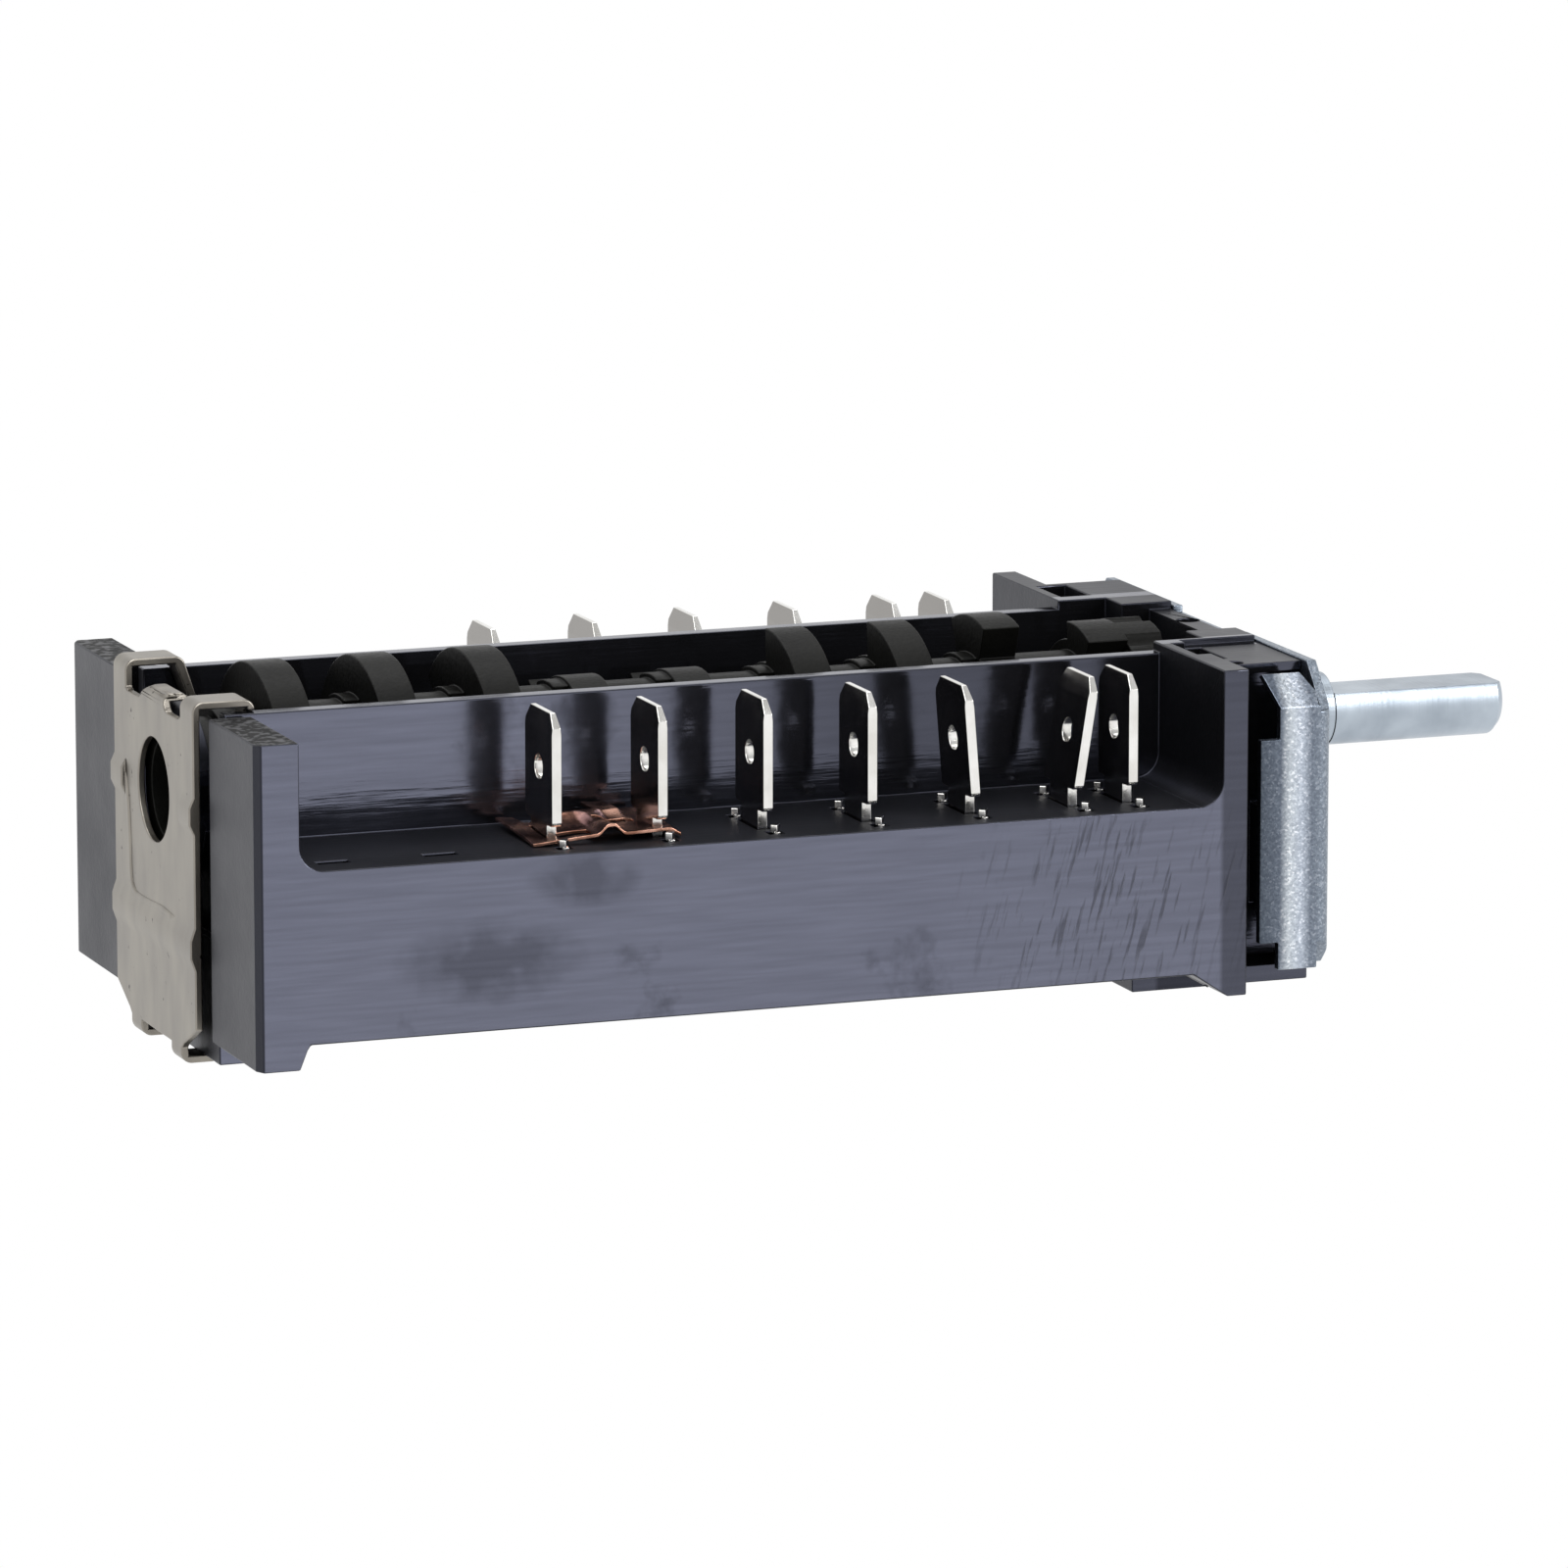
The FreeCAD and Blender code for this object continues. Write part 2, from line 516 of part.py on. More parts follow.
def housing_cavities():
    """Everything that is cut out of the housing's solid."""
    tools = [
        block("trough", (end_front, shoulder_rear), (-S["trough_half"], S["trough_half"]),
              (trough_top, S["axis_to_block_top"] + 1)),
        block("trough_front", (shoulder_rear - 1, bridge_rear), (-S["bridge_half"], S["bridge_half"]),
              (trough_top, S["axis_to_block_top"] + 1)),
        rod("bridge_recess", "z", S["recess_radius"], bridge_top - S["recess_depth"], bridge_top + 1,
            (front - S["bridge_length"] / 2, 1.2)),
        block("under_trough", (keel_front, keel_start), (-S["trough_half"], S["trough_half"]),
              (keel_low - 1, trough_under)),
        block("cover_recess", (keel_front, keel_start), (-cavity_side, cavity_side),
              (keel_low - 1, cover_top)),
        block("rear_recess", (rear - 1, end_rear), (-S["post_inner_half"], S["post_inner_half"]),
              (keel_low - 1, S["axis_to_wall_top"] + 1)),
        rod("rear_bearing", "x", S["journal_radius"] + S["running_gap"], rear - 1, end_front + 1, (0, 0)),
        rod("front_bearing", "x", S["front_journal"] + S["running_gap"], bridge_rear - 1, front + 1, (0, 0)),
    ]
    for label, sign in SIDES:
        bevel = [(rear - 1, side - S["post_chamfer"]), (rear, side - S["post_chamfer"]),
                 (rear + S["post_chamfer"] / 2, side), (rear + S["post_chamfer"] / 2, side + 1), (rear - 1, side + 1)]
        tools.append(prism("post_bevel_" + label, "XY", [(x, y * sign) for x, y in bevel],
                           foot_level - 1, S["axis_to_wall_top"] + 1))
        tools.append(block("chamber_" + label, (bay_rear + 0.8, block_rear - 2.5),
                           swap(sign, wall_side, cavity_side), (keel_low - 1, floor_under)))
        tools.append(block("side_gap_" + label, (rear - 1, bay_rear - 0.6),
                           swap(sign, wall_side, S["post_inner_half"]), (wall_low + 3, S["axis_to_wall_top"] + 1)))
        tools.append(block("block_slot_" + label,
                           (-S["detent_back"] - S["slot_length"] / 2, -S["detent_back"] + S["slot_length"] / 2),
                           swap(sign, S["slot_inner"], S["slot_outer"]),
                           (-S["slot_floor"], S["axis_to_block_top"] + 1)))
        tools.append(rod("ball_bore_" + label, "y", S["ball_radius"] + S["ball_bore_gap"],
                         *swap(sign, S["trough_half"] - 1, S["slot_inner"] + 0.5), (-S["detent_back"], 0)))
        tools.append(rod("screw_pocket_" + label, "x", S["screw_pocket"], front - 3.4, front + 1,
                         (S["screw_spacing"] / 2 * sign, 0)))
        for stage in range(EMPTY + 1, CAMS + 1):
            middle = cam_middle(stage)
            tools.append(block(f"window_{label}_{stage}",
                               (middle - S["leaf_width"] / 2 - 0.5, middle + S["leaf_width"] / 2 + 0.5),
                               swap(sign, S["trough_half"] - 0.5, wall_side + 0.5),
                               (trough_top + 0.6, floor_under)))
            tools.append(terminal_slots(label, sign, f"{stage}", tab_middle(label, stage)))
        tools.append(terminal_slots(label, sign, "feed", feed_middle(label)))
    for stage in (1, 2):
        slot_middle = cam_middle(stage) - 1.5
        tools.append(block(f"open_slot_{stage}", (slot_middle - 1.3, slot_middle + 1.3), (-21.6, -20.6),
                           (floor_under - 1, floor_top + 1)))
    tools.append(rod("edge_notch", "z", 0.75, block_top - 1.8, S["axis_to_block_top"] + 1,
                     (column_front + 1.1, -S["roof_half"] + 0.9)))
    return tools


def feed_middle(label):
    """Middle of a supply terminal's blade along the shaft."""
    return tab_middle(label, CAMS) + S["feed_offset"]


def terminal_slots(label, sign, stage, middle):
    """Slots in the floor for a blade's neck and its two locking lugs."""
    half_thick = S["tab_thick"] / 2 + S["slot_gap"]
    half_neck = S["tab_neck"] / 2 + S["neck_gap"]
    through = (floor_under - 1, floor_top + 1)
    return joined(f"slots_{label}_{stage}", [
        block(f"neck_slot_{label}_{stage}", (middle - half_thick, middle + half_thick),
              swap(sign, S["tab_centre"] - half_neck, S["tab_centre"] + half_neck), through),
        block(f"outer_lug_slot_{label}_{stage}", (middle - 0.3, middle + 0.9),
              swap(sign, yoke_out - 1.1, yoke_out + 0.1), through),
        block(f"inner_lug_slot_{label}_{stage}", (middle - 0.8, middle + 0.4),
              swap(sign, yoke_in - 0.1, yoke_in + 1.1), through)])


def housing_additions():
    """Partitions, keels, bearing boss and cover pins, added after the cavities are cut."""
    pieces = [
        block("rear_keel", (rear + S["keel_setback"], keel_front), (-wall_side, wall_side),
              (keel_low, trough_top)),
        block("front_keel", (keel_start, front - S["front_keel_setback"]), (-wall_side, wall_side),
              (keel_low, trough_under)),
        without("rear_boss", rod("boss_outer", "x", S["journal_radius"] + 1.4, rear + 0.2, end_rear + 0.5, (0, 0)),
                [rod("boss_inner", "x", S["journal_radius"] + S["running_gap"], rear - 1, end_rear + 1, (0, 0))]),
    ]
    for label, sign in SIDES:
        for stage in range(EMPTY + 1, CAMS + 1):
            start = cam_middle(stage) - S["cam_pitch"] / 2 - S["rib_thick"] / 2
            rib = block(f"rib_{label}_{stage}", (start, start + S["rib_thick"]),
                        swap(sign, wall_side - 0.3, cavity_side + 0.3), (cover_top, floor_under + 0.3))
            half_bar = S["bar_width"] / 2 + S["slot_gap"]
            gate = block(f"rib_gate_{label}_{stage}", (start - 1, start + S["rib_thick"] + 1),
                         swap(sign, S["contact_centre"] - half_bar, S["contact_centre"] + half_bar),
                         (-S["bar_drop"] - S["bar_thick"], floor_under + 0.1))
            pieces.append(without(f"partition_{label}_{stage}", rib, [gate]))
        for stage in (1, CAMS):
            pieces.append(rod(f"cover_pin_{label}_{stage}", "z", S["pin_radius"],
                              cover_low - S["pin_head"], cover_top + 0.5,
                              (cam_middle(stage) + 1, (wall_side - S["inner_wall"] / 2) * sign)))
    return pieces


def corner_fillet(name, sign, corner, way):
    """Rounded filling between a bay's floor and its end; way points into the bay."""
    radius = S["bay_corner"]
    middle = corner + radius * way
    inside = corner - radius * (0.1 * way)
    span_x = (inside, middle) if way > 0 else (middle, inside)
    filling = block(name + "_filling", span_x, swap(sign, wall_side - 0.2, side),
                    (floor_top - 0.2, floor_top + radius))
    hollow = rod(name + "_hollow", "y", radius, *swap(sign, wall_side - 1, side + 1), (middle, floor_top + radius))
    return without(name, filling, [hollow])


def make_housing():
    """The long black moulding that holds everything else."""
    hollow = without("housing_hollow", housing_shell(), housing_cavities())
    corners = []
    for label, sign in SIDES:
        corners.append(corner_fillet("rear_corner_" + label, sign, bay_rear, 1))
        corners.append(corner_fillet("front_corner_" + label, sign, block_rear, -1))
    return joined("housing", [hollow] + housing_additions() + corners)


def low_cutter(tag, start, finish, core_radius, middle, half_width):
    """Wedge that takes a cam down to its low radius over one stretch."""
    spots = [(S["cam_radius"] * 0, S["cam_radius"] * 0)]
    for turn in (-half_width, -half_width / 3, half_width / 3, half_width):
        angle = math.radians(middle + turn)
        spots.append((S["cam_cutter"] * math.cos(angle), S["cam_cutter"] * math.sin(angle)))
    wedge = prism("wedge_" + tag, "YZ", spots, start - 0.1, finish + 0.1)
    core = rod("wedge_core_" + tag, "x", core_radius, start - 0.2, finish + 0.2, (0, 0))
    return without("low_" + tag, wedge, [core])


def make_cam(stage):
    """One cam disc less its low stretches, with the toothed collar behind it."""
    start = cam_middle(stage) - S["cam_thick"] / 2
    disc = rod(f"cam_disc_{stage}", "x", S["cam_radius"], start, start + S["cam_thick"], (0, 0))
    cutters = [low_cutter(f"{stage}_{index}", start, start + S["cam_thick"], S["cam_low"], middle, half_width)
               for index, (middle, half_width) in enumerate(LOW_STRETCHES[(stage - 1) % len(LOW_STRETCHES)])]
    cam = without(f"cam_{stage}", disc, cutters)
    collar = rod(f"collar_{stage}", "x", S["collar_radius"], start - S["collar_thick"], start + 0.1, (0, 0))
    notches = []
    for index, angle in enumerate((60, 112, 205, 290)):
        turn = math.radians(angle)
        notches.append(rod(f"collar_notch_{stage}_{index}", "x", 0.8, start - S["collar_thick"] - 0.1, start,
                           (S["collar_radius"] * math.cos(turn), S["collar_radius"] * math.sin(turn))))
    return [cam, without(f"collar_cut_{stage}", collar, notches)]


def make_camshaft():
    """Black camshaft: journals, hub, cams and detent drum in one moulding."""
    pieces = [
        rod("rear_journal", "x", S["journal_radius"], journal_rear, end_front + S["end_play"] + 0.1, (0, 0)),
        rod("hub", "x", S["hub_radius"], end_front + S["end_play"], drum_rear + 0.1, (0, 0)),
        rod("nose", "x", S["hub_radius"], drum_front - 0.1, nose_front, (0, 0)),
        rod("front_journal_rod", "x", S["front_journal"], nose_front - 0.1, front - 0.2, (0, 0)),
    ]
    for stage in range(1, CAMS + 1):
        pieces += make_cam(stage)
    drum = rod("drum", "x", S["drum_radius"], drum_rear, drum_front, (0, 0))
    groove_radius = S["ball_radius"] + S["ball_gap"]
    track = -S["detent_back"] - S["ball_radius"] - 0.2
    grooves = [low_cutter(f"drum_{index}", drum_rear, track - 0.1, S["drum_low"], middle, half_width)
               for index, (middle, half_width) in enumerate(DRUM_STRETCHES)]
    for index in range(DETENTS):
        angle = math.radians(360 / DETENTS * index)
        reach = ball_rest
        grooves.append(rod(f"groove_{index}", "x", groove_radius, track, drum_front + 0.1,
                           (reach * math.cos(angle), reach * math.sin(angle))))
    pieces.append(without("drum_grooved", drum, grooves))
    whole = joined("camshaft_solid", pieces)
    socket = rod("rear_socket", "x", S["socket_radius"], journal_rear - 1, journal_rear + S["socket_depth"], (0, 0))
    seat = rod("shaft_seat", "x", S["shaft_radius"] - S["shaft_step"], front - S["shaft_engaged"], front + 1, (0, 0))
    return without("camshaft", whole, [socket, seat])


def make_control_shaft():
    """Plated steel shaft with a flat at its outer end, pressed into the camshaft."""
    inner = rod("shaft_inner", "x", S["shaft_radius"] - S["shaft_step"], front - S["shaft_engaged"],
                S["bracket_sheet"], (0, 0))
    inside = S["shaft_radius"] - S["shaft_chamfer"]
    turned = doc.addObject("PartDesign::Body", "shaft_outer")
    support = [item for item in turned.Origin.OriginFeatures if item.Role == "XZ_Plane"][0]
    sketch = turned.newObject("Sketcher::SketchObject", "shaft_profile")
    sketch.AttachmentSupport = (support, [""])
    sketch.MapMode = "FlatFace"
    start = S["bracket_sheet"] / 2
    flat_start = S["shaft_reach"] - S["flat_length"]
    end_radius = S["shaft_radius"] - S["flat_relief"]
    draw_outline(sketch, [(start, start * 0), (S["shaft_reach"], start * 0), (S["shaft_reach"], inside),
                          (S["shaft_reach"] - S["shaft_chamfer"], end_radius), (flat_start, end_radius),
                          (flat_start, S["shaft_radius"]), (start, S["shaft_radius"])])
    spin = turned.newObject("PartDesign::Revolution", "shaft_turned")
    spin.Profile = sketch
    spin.ReferenceAxis = (sketch, ["H_Axis"])
    spin.Angle = 360
    turned.Tip = spin
    flat = block("shaft_flat", (flat_start, S["shaft_reach"] + 1),
                 (-S["shaft_radius"] - 1, S["shaft_radius"] + 1),
                 (S["shaft_radius"] - S["flat_depth"], S["shaft_radius"] + 1))
    return without("control_shaft", joined("shaft_whole", [inner, turned]), [flat])


def flange_strip(label, sign):
    """Outline of the bracket's bent side seen from above, plate end included."""
    sheet = S["bracket_sheet"]
    outer = bracket_half
    bend = S["bracket_bend"]
    return [(x, y * sign) + tuple(rest) for x, y, *rest in [
        (sheet * 0, outer - bend - 1), (sheet * 0, outer, bend), (-S["flange_length"], outer),
        (-S["flange_length"], outer - sheet), (-sheet, outer - sheet, bend - sheet),
        (-sheet, outer - bend - 1)]]


def make_front_bracket():
    """Galvanised steel mounting bracket: plate, two bent flanges, two drawn threads."""
    sheet = S["bracket_sheet"]
    top = S["bracket_above"]
    low = -S["bracket_below"]
    pieces = [block("bracket_plate", (-sheet, sheet * 0), (-bracket_half + S["bracket_bend"],
                    bracket_half - S["bracket_bend"]), (low, top))]
    tools = [rod("bracket_shaft_hole", "x", S["shaft_radius"] + S["shaft_hole_gap"], -sheet - 1, sheet, (0, 0)),
             block("bracket_top_notch", (-sheet - 1, sheet),
                   (-S["bracket_notch"] - S["notch_shift"], S["bracket_notch"] - S["notch_shift"]),
                   (top - S["notch_depth"], top + 1))]
    for label, sign in SIDES:
        pieces.append(prism("flange_" + label, "XY", flange_strip(label, sign), low, top))
        centre = (S["screw_spacing"] / 2 * sign, 0)
        pieces.append(rod("thread_collar_" + label, "x", S["screw_hole"] + S["collar_wall"],
                          -sheet - S["collar_depth"], -sheet / 2, centre))
        tools.append(rod("thread_" + label, "x", S["screw_hole"], -sheet - S["collar_depth"] - 1, sheet, centre))
        outer = bracket_half
        cut_span = swap(sign, outer - S["bracket_bend"] - 0.5, outer + 1)
        tools.append(block("flange_cut_" + label, (-S["flange_length"] - 1, -S["flange_narrow"]), cut_span,
                           (S["flange_step"], top + 1)))
        tools.append(block("flange_top_" + label, (-S["flange_length"] - 1, -sheet), cut_span,
                           (S["flange_top"], top + 1)))
        tools.append(block("flange_nick_" + label, (-S["flange_length"] - 1, -S["flange_narrow"]), cut_span,
                           (low - 1, low + 2.2)))
        run = S["corner_run"]
        tools.append(prism("upper_corner_" + label, "YZ", mirrored_corners(sign, [
            (outer + 1, top + 1), (outer - run, top + 1), (outer - run, top),
            (outer - sheet, top - S["corner_drop"]), (outer + 1, top - S["corner_drop"])]), -sheet * 1.4, sheet))
        cut = S["low_corner"]
        tools.append(prism("lower_corner_" + label, "YZ", mirrored_corners(sign, [
            (outer + 1, low - 1), (outer - cut, low - 1), (outer - cut, low), (outer, low + cut),
            (outer + 1, low + cut)]), -S["bracket_bend"], sheet))
    bracket = without("bracket_cut", joined("bracket_solid", pieces), tools)
    leans = [bracket]
    for label, sign in SIDES:
        outer = bracket_half
        foot = S["flange_top"]
        strip = prism("lean_strip_" + label, "YZ", mirrored_corners(sign, [
            (outer, foot - 0.01), (outer - S["lean_in"], foot + S["lean_rise"]),
            (outer - S["lean_in"] - sheet, foot + S["lean_rise"] - 0.3), (outer - sheet, foot - 0.01)]),
            -S["flange_length"], -sheet)
        shape = prism("lean_shape_" + label, "XZ", [
            (-S["flange_narrow"], foot - 1), (-S["flange_narrow"], foot), (-S["flange_length"] + 0.6, foot + 3),
            (-sheet * 3.2, foot + 3), (-sheet * 1.5, foot + 1), (-sheet * 1.5, foot - 1)],
            *swap(sign, outer - S["lean_in"] - sheet - 1, outer + 1))
        lean = doc.addObject("Part::Common", "lean_" + label)
        lean.Base = strip
        lean.Tool = shape
        leans.append(lean)
    return joined("front_bracket", leans)


def upper_hook(label, back, low):
    """Side view of one upper hook: up the plate, over the rear wall and down inside the trough."""
    sheet = S["plate_sheet"]
    level = S["axis_to_wall_top"] + S[label + "_hook_rise"] + sheet
    end = back + S[label + "_hook_reach"]
    tip = S["axis_to_wall_top"] - S["hook_fall"]
    slant = S[label + "_hook_slant"]
    return [(back, low), (back, level, sheet * 1.5), (end, level, sheet * 1.5), (end + slant, tip),
            (end + slant - sheet, tip), (end - sheet, level - sheet), (back + sheet, level - sheet),
            (back + sheet, low)]


def plate_side(back, top, low):
    """Side view of the plate: flat, with one bead across it, and bent forward under the keel."""
    sheet = S["plate_sheet"]
    bead = -S["long_bead_drop"]
    half = S["bead_half"]
    out = back - S["bead_height"]
    return [(back, top), (back, bead + half), (out, bead + half * 0.4), (out, bead - half * 0.4), (back, bead - half),
            (back, low - sheet, sheet * 1.5), (back + S["foot_hook"], low - sheet), (back + S["foot_hook"], low),
            (back + sheet, low), (back + sheet, top)]


def plate_outline(top):
    """The stamped plate seen from the rear, near side first: notches, tongue, cut corners, lower hooks."""
    half = S["plate_half"]
    notch = S["axis_to_wall_top"] - S["notch_drop"]
    edge = foot_level - S["plate_low"]
    inner = S["foot_hook_centre"] - S["foot_hook_width"] / 2
    outer = S["foot_hook_centre"] + S["foot_hook_width"] / 2
    hook = half - S["hook_width"]
    near, far = -S["tongue_near"], S["tongue_far"]
    return [
        (-half, top), (-half, edge + 2.1), (-outer - 0.5, edge + 0.4), (-outer, edge), (-outer, keel_low - 2),
        (-inner, keel_low - 2), (-inner, edge), (inner, edge), (inner, keel_low - 2), (outer, keel_low - 2),
        (outer, edge), (outer + 0.5, edge + 0.4), (half, edge + 2.1), (half, top), (hook, top),
        (hook, notch, S["plate_sheet"]), (far + 2.1, notch, S["plate_sheet"]), (far + 1.2, notch + 0.7),
        (far, notch + 1.3), (far, top), (near, top), (near, notch, S["plate_sheet"] * 2),
        (-hook + 0.3, notch, S["plate_sheet"] * 1.3), (-hook, notch + 1.1), (-hook, top)]


def make_rear_plate():
    """Stamped spring plate that closes the rear end and hooks over and under the housing."""
    sheet = S["plate_sheet"]
    half = S["plate_half"]
    back = rear - S["plate_proud"]
    wall_top = S["axis_to_wall_top"]
    notch = wall_top - S["notch_drop"]
    level = wall_top + S["tongue_rise"]
    end = back + S["tongue_reach"]
    strips = [prism("plate_flat", "XZ", plate_side(back, notch + 0.2, keel_low - 0.15), -half, half),
              prism("plate_tongue", "XZ", [
                  (back, notch), (back, level, sheet * 1.5), (end - 0.5, level), (end, level - 0.35),
                  (end - 0.2, level - 0.85), (end - 0.7, level - sheet), (back + sheet, level - sheet),
                  (back + sheet, notch)], -S["tongue_near"] - 0.5, S["tongue_far"] + 1.5)]
    for label, sign in SIDES:
        strips.append(prism("plate_hook_" + label, "XZ", upper_hook(label, back, notch),
                            *swap(sign, half - S["hook_width"], half)))
        bead = -S["side_bead_drop"]
        rise = S["bead_height"]
        strips.append(prism("plate_bead_" + label, "XZ", [
            (back + 0.1, bead + S["bead_half"]), (back - rise, bead + S["bead_half"] * 0.4),
            (back - rise, bead - S["bead_half"] * 0.4), (back + 0.1, bead - S["bead_half"])],
            *swap(sign, half - S["side_bead_length"], half)))
    outline = prism("plate_outline", "YZ", plate_outline(wall_top + 3), back - 1, back + 8)
    stamped = doc.addObject("Part::Common", "plate_stamped")
    stamped.Base = joined("plate_strips", strips)
    stamped.Tool = outline
    tools = [rod("plate_hole_tool", "x", S["plate_hole"], back - 1, back + sheet + 0.6, (0, 0))]
    for label, sign in SIDES:
        tools.append(block("hook_trim_" + label, (end_front - 0.2, end_front + 4),
                           swap(sign, S["trough_half"] - 0.15, half + 1), (floor_top, wall_top + 0.1)))
    return without("rear_plate", stamped, tools)


def blade_outline(sign):
    """Blade terminal seen along the shaft: neck, shoulders with rounded corners, and cut tip."""
    centre = S["tab_centre"]
    half = S["tab_width"] / 2
    neck = S["tab_neck"] / 2
    cut = S["tip_cut"]
    top = S["tab_top"]
    shoulder = -S["tab_shoulder"]
    return mirrored_corners(sign, [
        (centre - neck, yoke_top - 0.1), (centre - neck, shoulder), (centre - half, shoulder, 0.4),
        (centre - half, top - cut * 1.2), (centre - half + cut, top), (centre + half - cut, top),
        (centre + half, top - cut * 1.2), (centre + half, shoulder, 0.4), (centre + neck, shoulder),
        (centre + neck, yoke_top - 0.1)])


def lug(name, x_middle, sign, low_y, high_y, turn):
    """Small locking lug that stands through the floor, twisted to hold the terminal."""
    span = swap(sign, low_y, high_y)
    half = S["tab_thick"] * 0.35
    stem = block(name + "_stem", (x_middle - half, x_middle + half), span, (yoke_top - 0.1, floor_top + 0.1))
    head = doc.addObject("Part::Box", name + "_head")
    head.setExpression("Length", formula(half * 2))
    head.setExpression("Width", formula(high_y - low_y))
    head.setExpression("Height", formula(S["lug_height"]))
    reach = number(high_y - low_y) / 2
    angle = math.radians(turn * sign)
    shift_x = number(half) * math.cos(angle) - reach * math.sin(angle)
    shift_y = number(half) * math.sin(angle) + reach * math.cos(angle)
    head.Placement = FreeCAD.Placement(Vector(0, 0, 0), FreeCAD.Rotation(Vector(0, 0, 1), turn * sign))
    head.setExpression("Placement.Base.x", formula(x_middle - shift_x))
    head.setExpression("Placement.Base.y", formula((span[0] + span[1]) / 2 - shift_y))
    head.setExpression("Placement.Base.z", formula(floor_top + 0.05))
    return joined(name, [stem, head])


def make_terminal(label, sign, stage, middle, with_leg):
    """Blade terminal folded from one strip: blade, foot under the floor, lugs and leg."""
    tag = f"{label}_{stage}"
    half_thick = S["tab_thick"] / 2
    blade = prism("blade_" + tag, "YZ", blade_outline(sign), middle - half_thick, middle + half_thick)
    thin = S["tip_thin"]
    top = S["tab_top"]
    trims = []
    for end, way in (("rear", -1), ("front", 1)):
        face = middle + half_thick * way
        trims.append(prism(f"tip_trim_{end}_{tag}", "XZ", [
            (face + 0.5 * way, top - S["tip_bevel"]), (face, top - S["tip_bevel"]),
            (face - thin * way, top + 0.2), (face + 0.5 * way, top + 0.2)],
            *swap(sign, S["tab_centre"] - S["tab_width"], S["tab_centre"] + S["tab_width"])))
    hole_level = top - S["tab_hole_drop"]
    trims.append(rod("latch_hole_" + tag, "x", S["tab_hole"], middle - 1, middle + 1,
                     (S["tab_centre"] * sign, hole_level)))
    blade_cut = without("blade_cut_" + tag, blade, trims)
    carried = cam_middle(stage) if with_leg else middle
    pieces = [blade_cut, block("foot_" + tag, (middle - 0.8, carried + S["foot_reach"]),
                               swap(sign, yoke_in, yoke_out), (yoke_low, yoke_top)),
              lug("outer_lug_" + tag, middle + 0.3, sign, yoke_out - 0.9, yoke_out, 35),
              lug("inner_lug_" + tag, middle - 0.2, sign, yoke_in, yoke_in + 0.9, 35)]
    if with_leg:
        span = (carried - 1.5, carried + 1.5)
        pieces.append(block("leg_" + tag, span, swap(sign, yoke_out - S["tab_thick"], yoke_out),
                            (leg_low, yoke_low + 0.1)))
        pieces.append(block("toe_" + tag, span, swap(sign, leaf_fixed, yoke_out),
                            (leg_low, leg_low + S["tab_thick"])))
    else:
        pieces.append(block("riser_" + tag, (middle - 0.7, middle + 1.0),
                            swap(sign, S["contact_centre"] - 0.6, S["contact_centre"] + 1.2),
                            (-S["bar_drop"], yoke_low + 0.1)))
    return joined("terminal_" + tag, pieces)


def leaf_slope(shut):
    """Rise of a leaf for each millimetre towards the axis, bent up or pressed down."""
    room = S["contact_room"] if shut else S["contact_room"] + S["contact_opening"]
    level = fixed_low - room - S["contact_height"]
    return (level - leg_low) / (leaf_fixed - S["contact_centre"])


def leaf_level(shut, reach):
    """Upper side of a leaf at a distance from the axis."""
    return leg_low + leaf_slope(shut) * (leaf_fixed - reach)


def make_leaf(label, sign, stage):
    """Bronze leaf under a terminal's toe, from its weld to the cam it follows."""
    shut = stage in SHUT_STAGES[label]
    thick = S["leaf_thick"]
    fixed = leaf_fixed
    tip = S["leaf_reach"]
    tip_level = leaf_level(shut, tip)
    corners = mirrored_corners(sign, [
        (yoke_out - 0.2, leg_low), (fixed, leg_low), (tip, tip_level), (tip - 0.5, tip_level - 0.5),
        (tip - 0.2, tip_level - 0.5 - thick), (tip + 0.25, tip_level - thick),
        (fixed, leg_low - thick), (yoke_out - 0.2, leg_low - thick)])
    middle = cam_middle(stage)
    return prism(f"contact_leaf_{label}_{stage}", "YZ", corners,
                 middle - S["leaf_width"] / 2, middle + S["leaf_width"] / 2)


def make_moving_contacts():
    """Silver rivet heads on all the leaves."""
    heads = []
    for label, sign in SIDES:
        for stage in staged(label):
            shut = stage in SHUT_STAGES[label]
            level = leaf_level(shut, S["contact_centre"])
            turn = math.degrees(math.atan(number(leaf_slope(shut))))
            head = rod(f"moving_contact_{label}_{stage}", "z", S["contact_radius"], level,
                       level + S["contact_height"], (cam_middle(stage), S["contact_centre"] * sign))
            head.Placement = FreeCAD.Placement(head.Placement.Base, FreeCAD.Rotation(Vector(1, 0, 0), -turn * sign))
            heads.append(head)
    return grouped("moving_contacts", heads)


def make_fixed_contacts():
    """Silver rivet heads under both supply bars."""
    heads = []
    for label, sign in SIDES:
        for stage in staged(label):
            heads.append(rod(f"fixed_contact_{label}_{stage}", "z", S["contact_radius"],
                             fixed_low, fixed_low + S["fixed_height"], (cam_middle(stage), S["contact_centre"] * sign)))
    return grouped("fixed_contacts", heads)


def grouped(name, pieces):
    """Separate like solids kept together in one node."""
    group = doc.addObject("Part::Compound", name)
    group.Links = pieces
    return group


def make_supply_bar(label, sign):
    """Brass bar along a chamber, from the first working stage to the supply terminal."""
    first = staged(label)[0]
    half = S["bar_width"] / 2
    return block("supply_bar_" + label, (cam_middle(first) - 2.4, feed_middle(label) + 1.4),
                 swap(sign, S["contact_centre"] - half, S["contact_centre"] + half),
                 (-S["bar_drop"] - S["bar_thick"], -S["bar_drop"]))


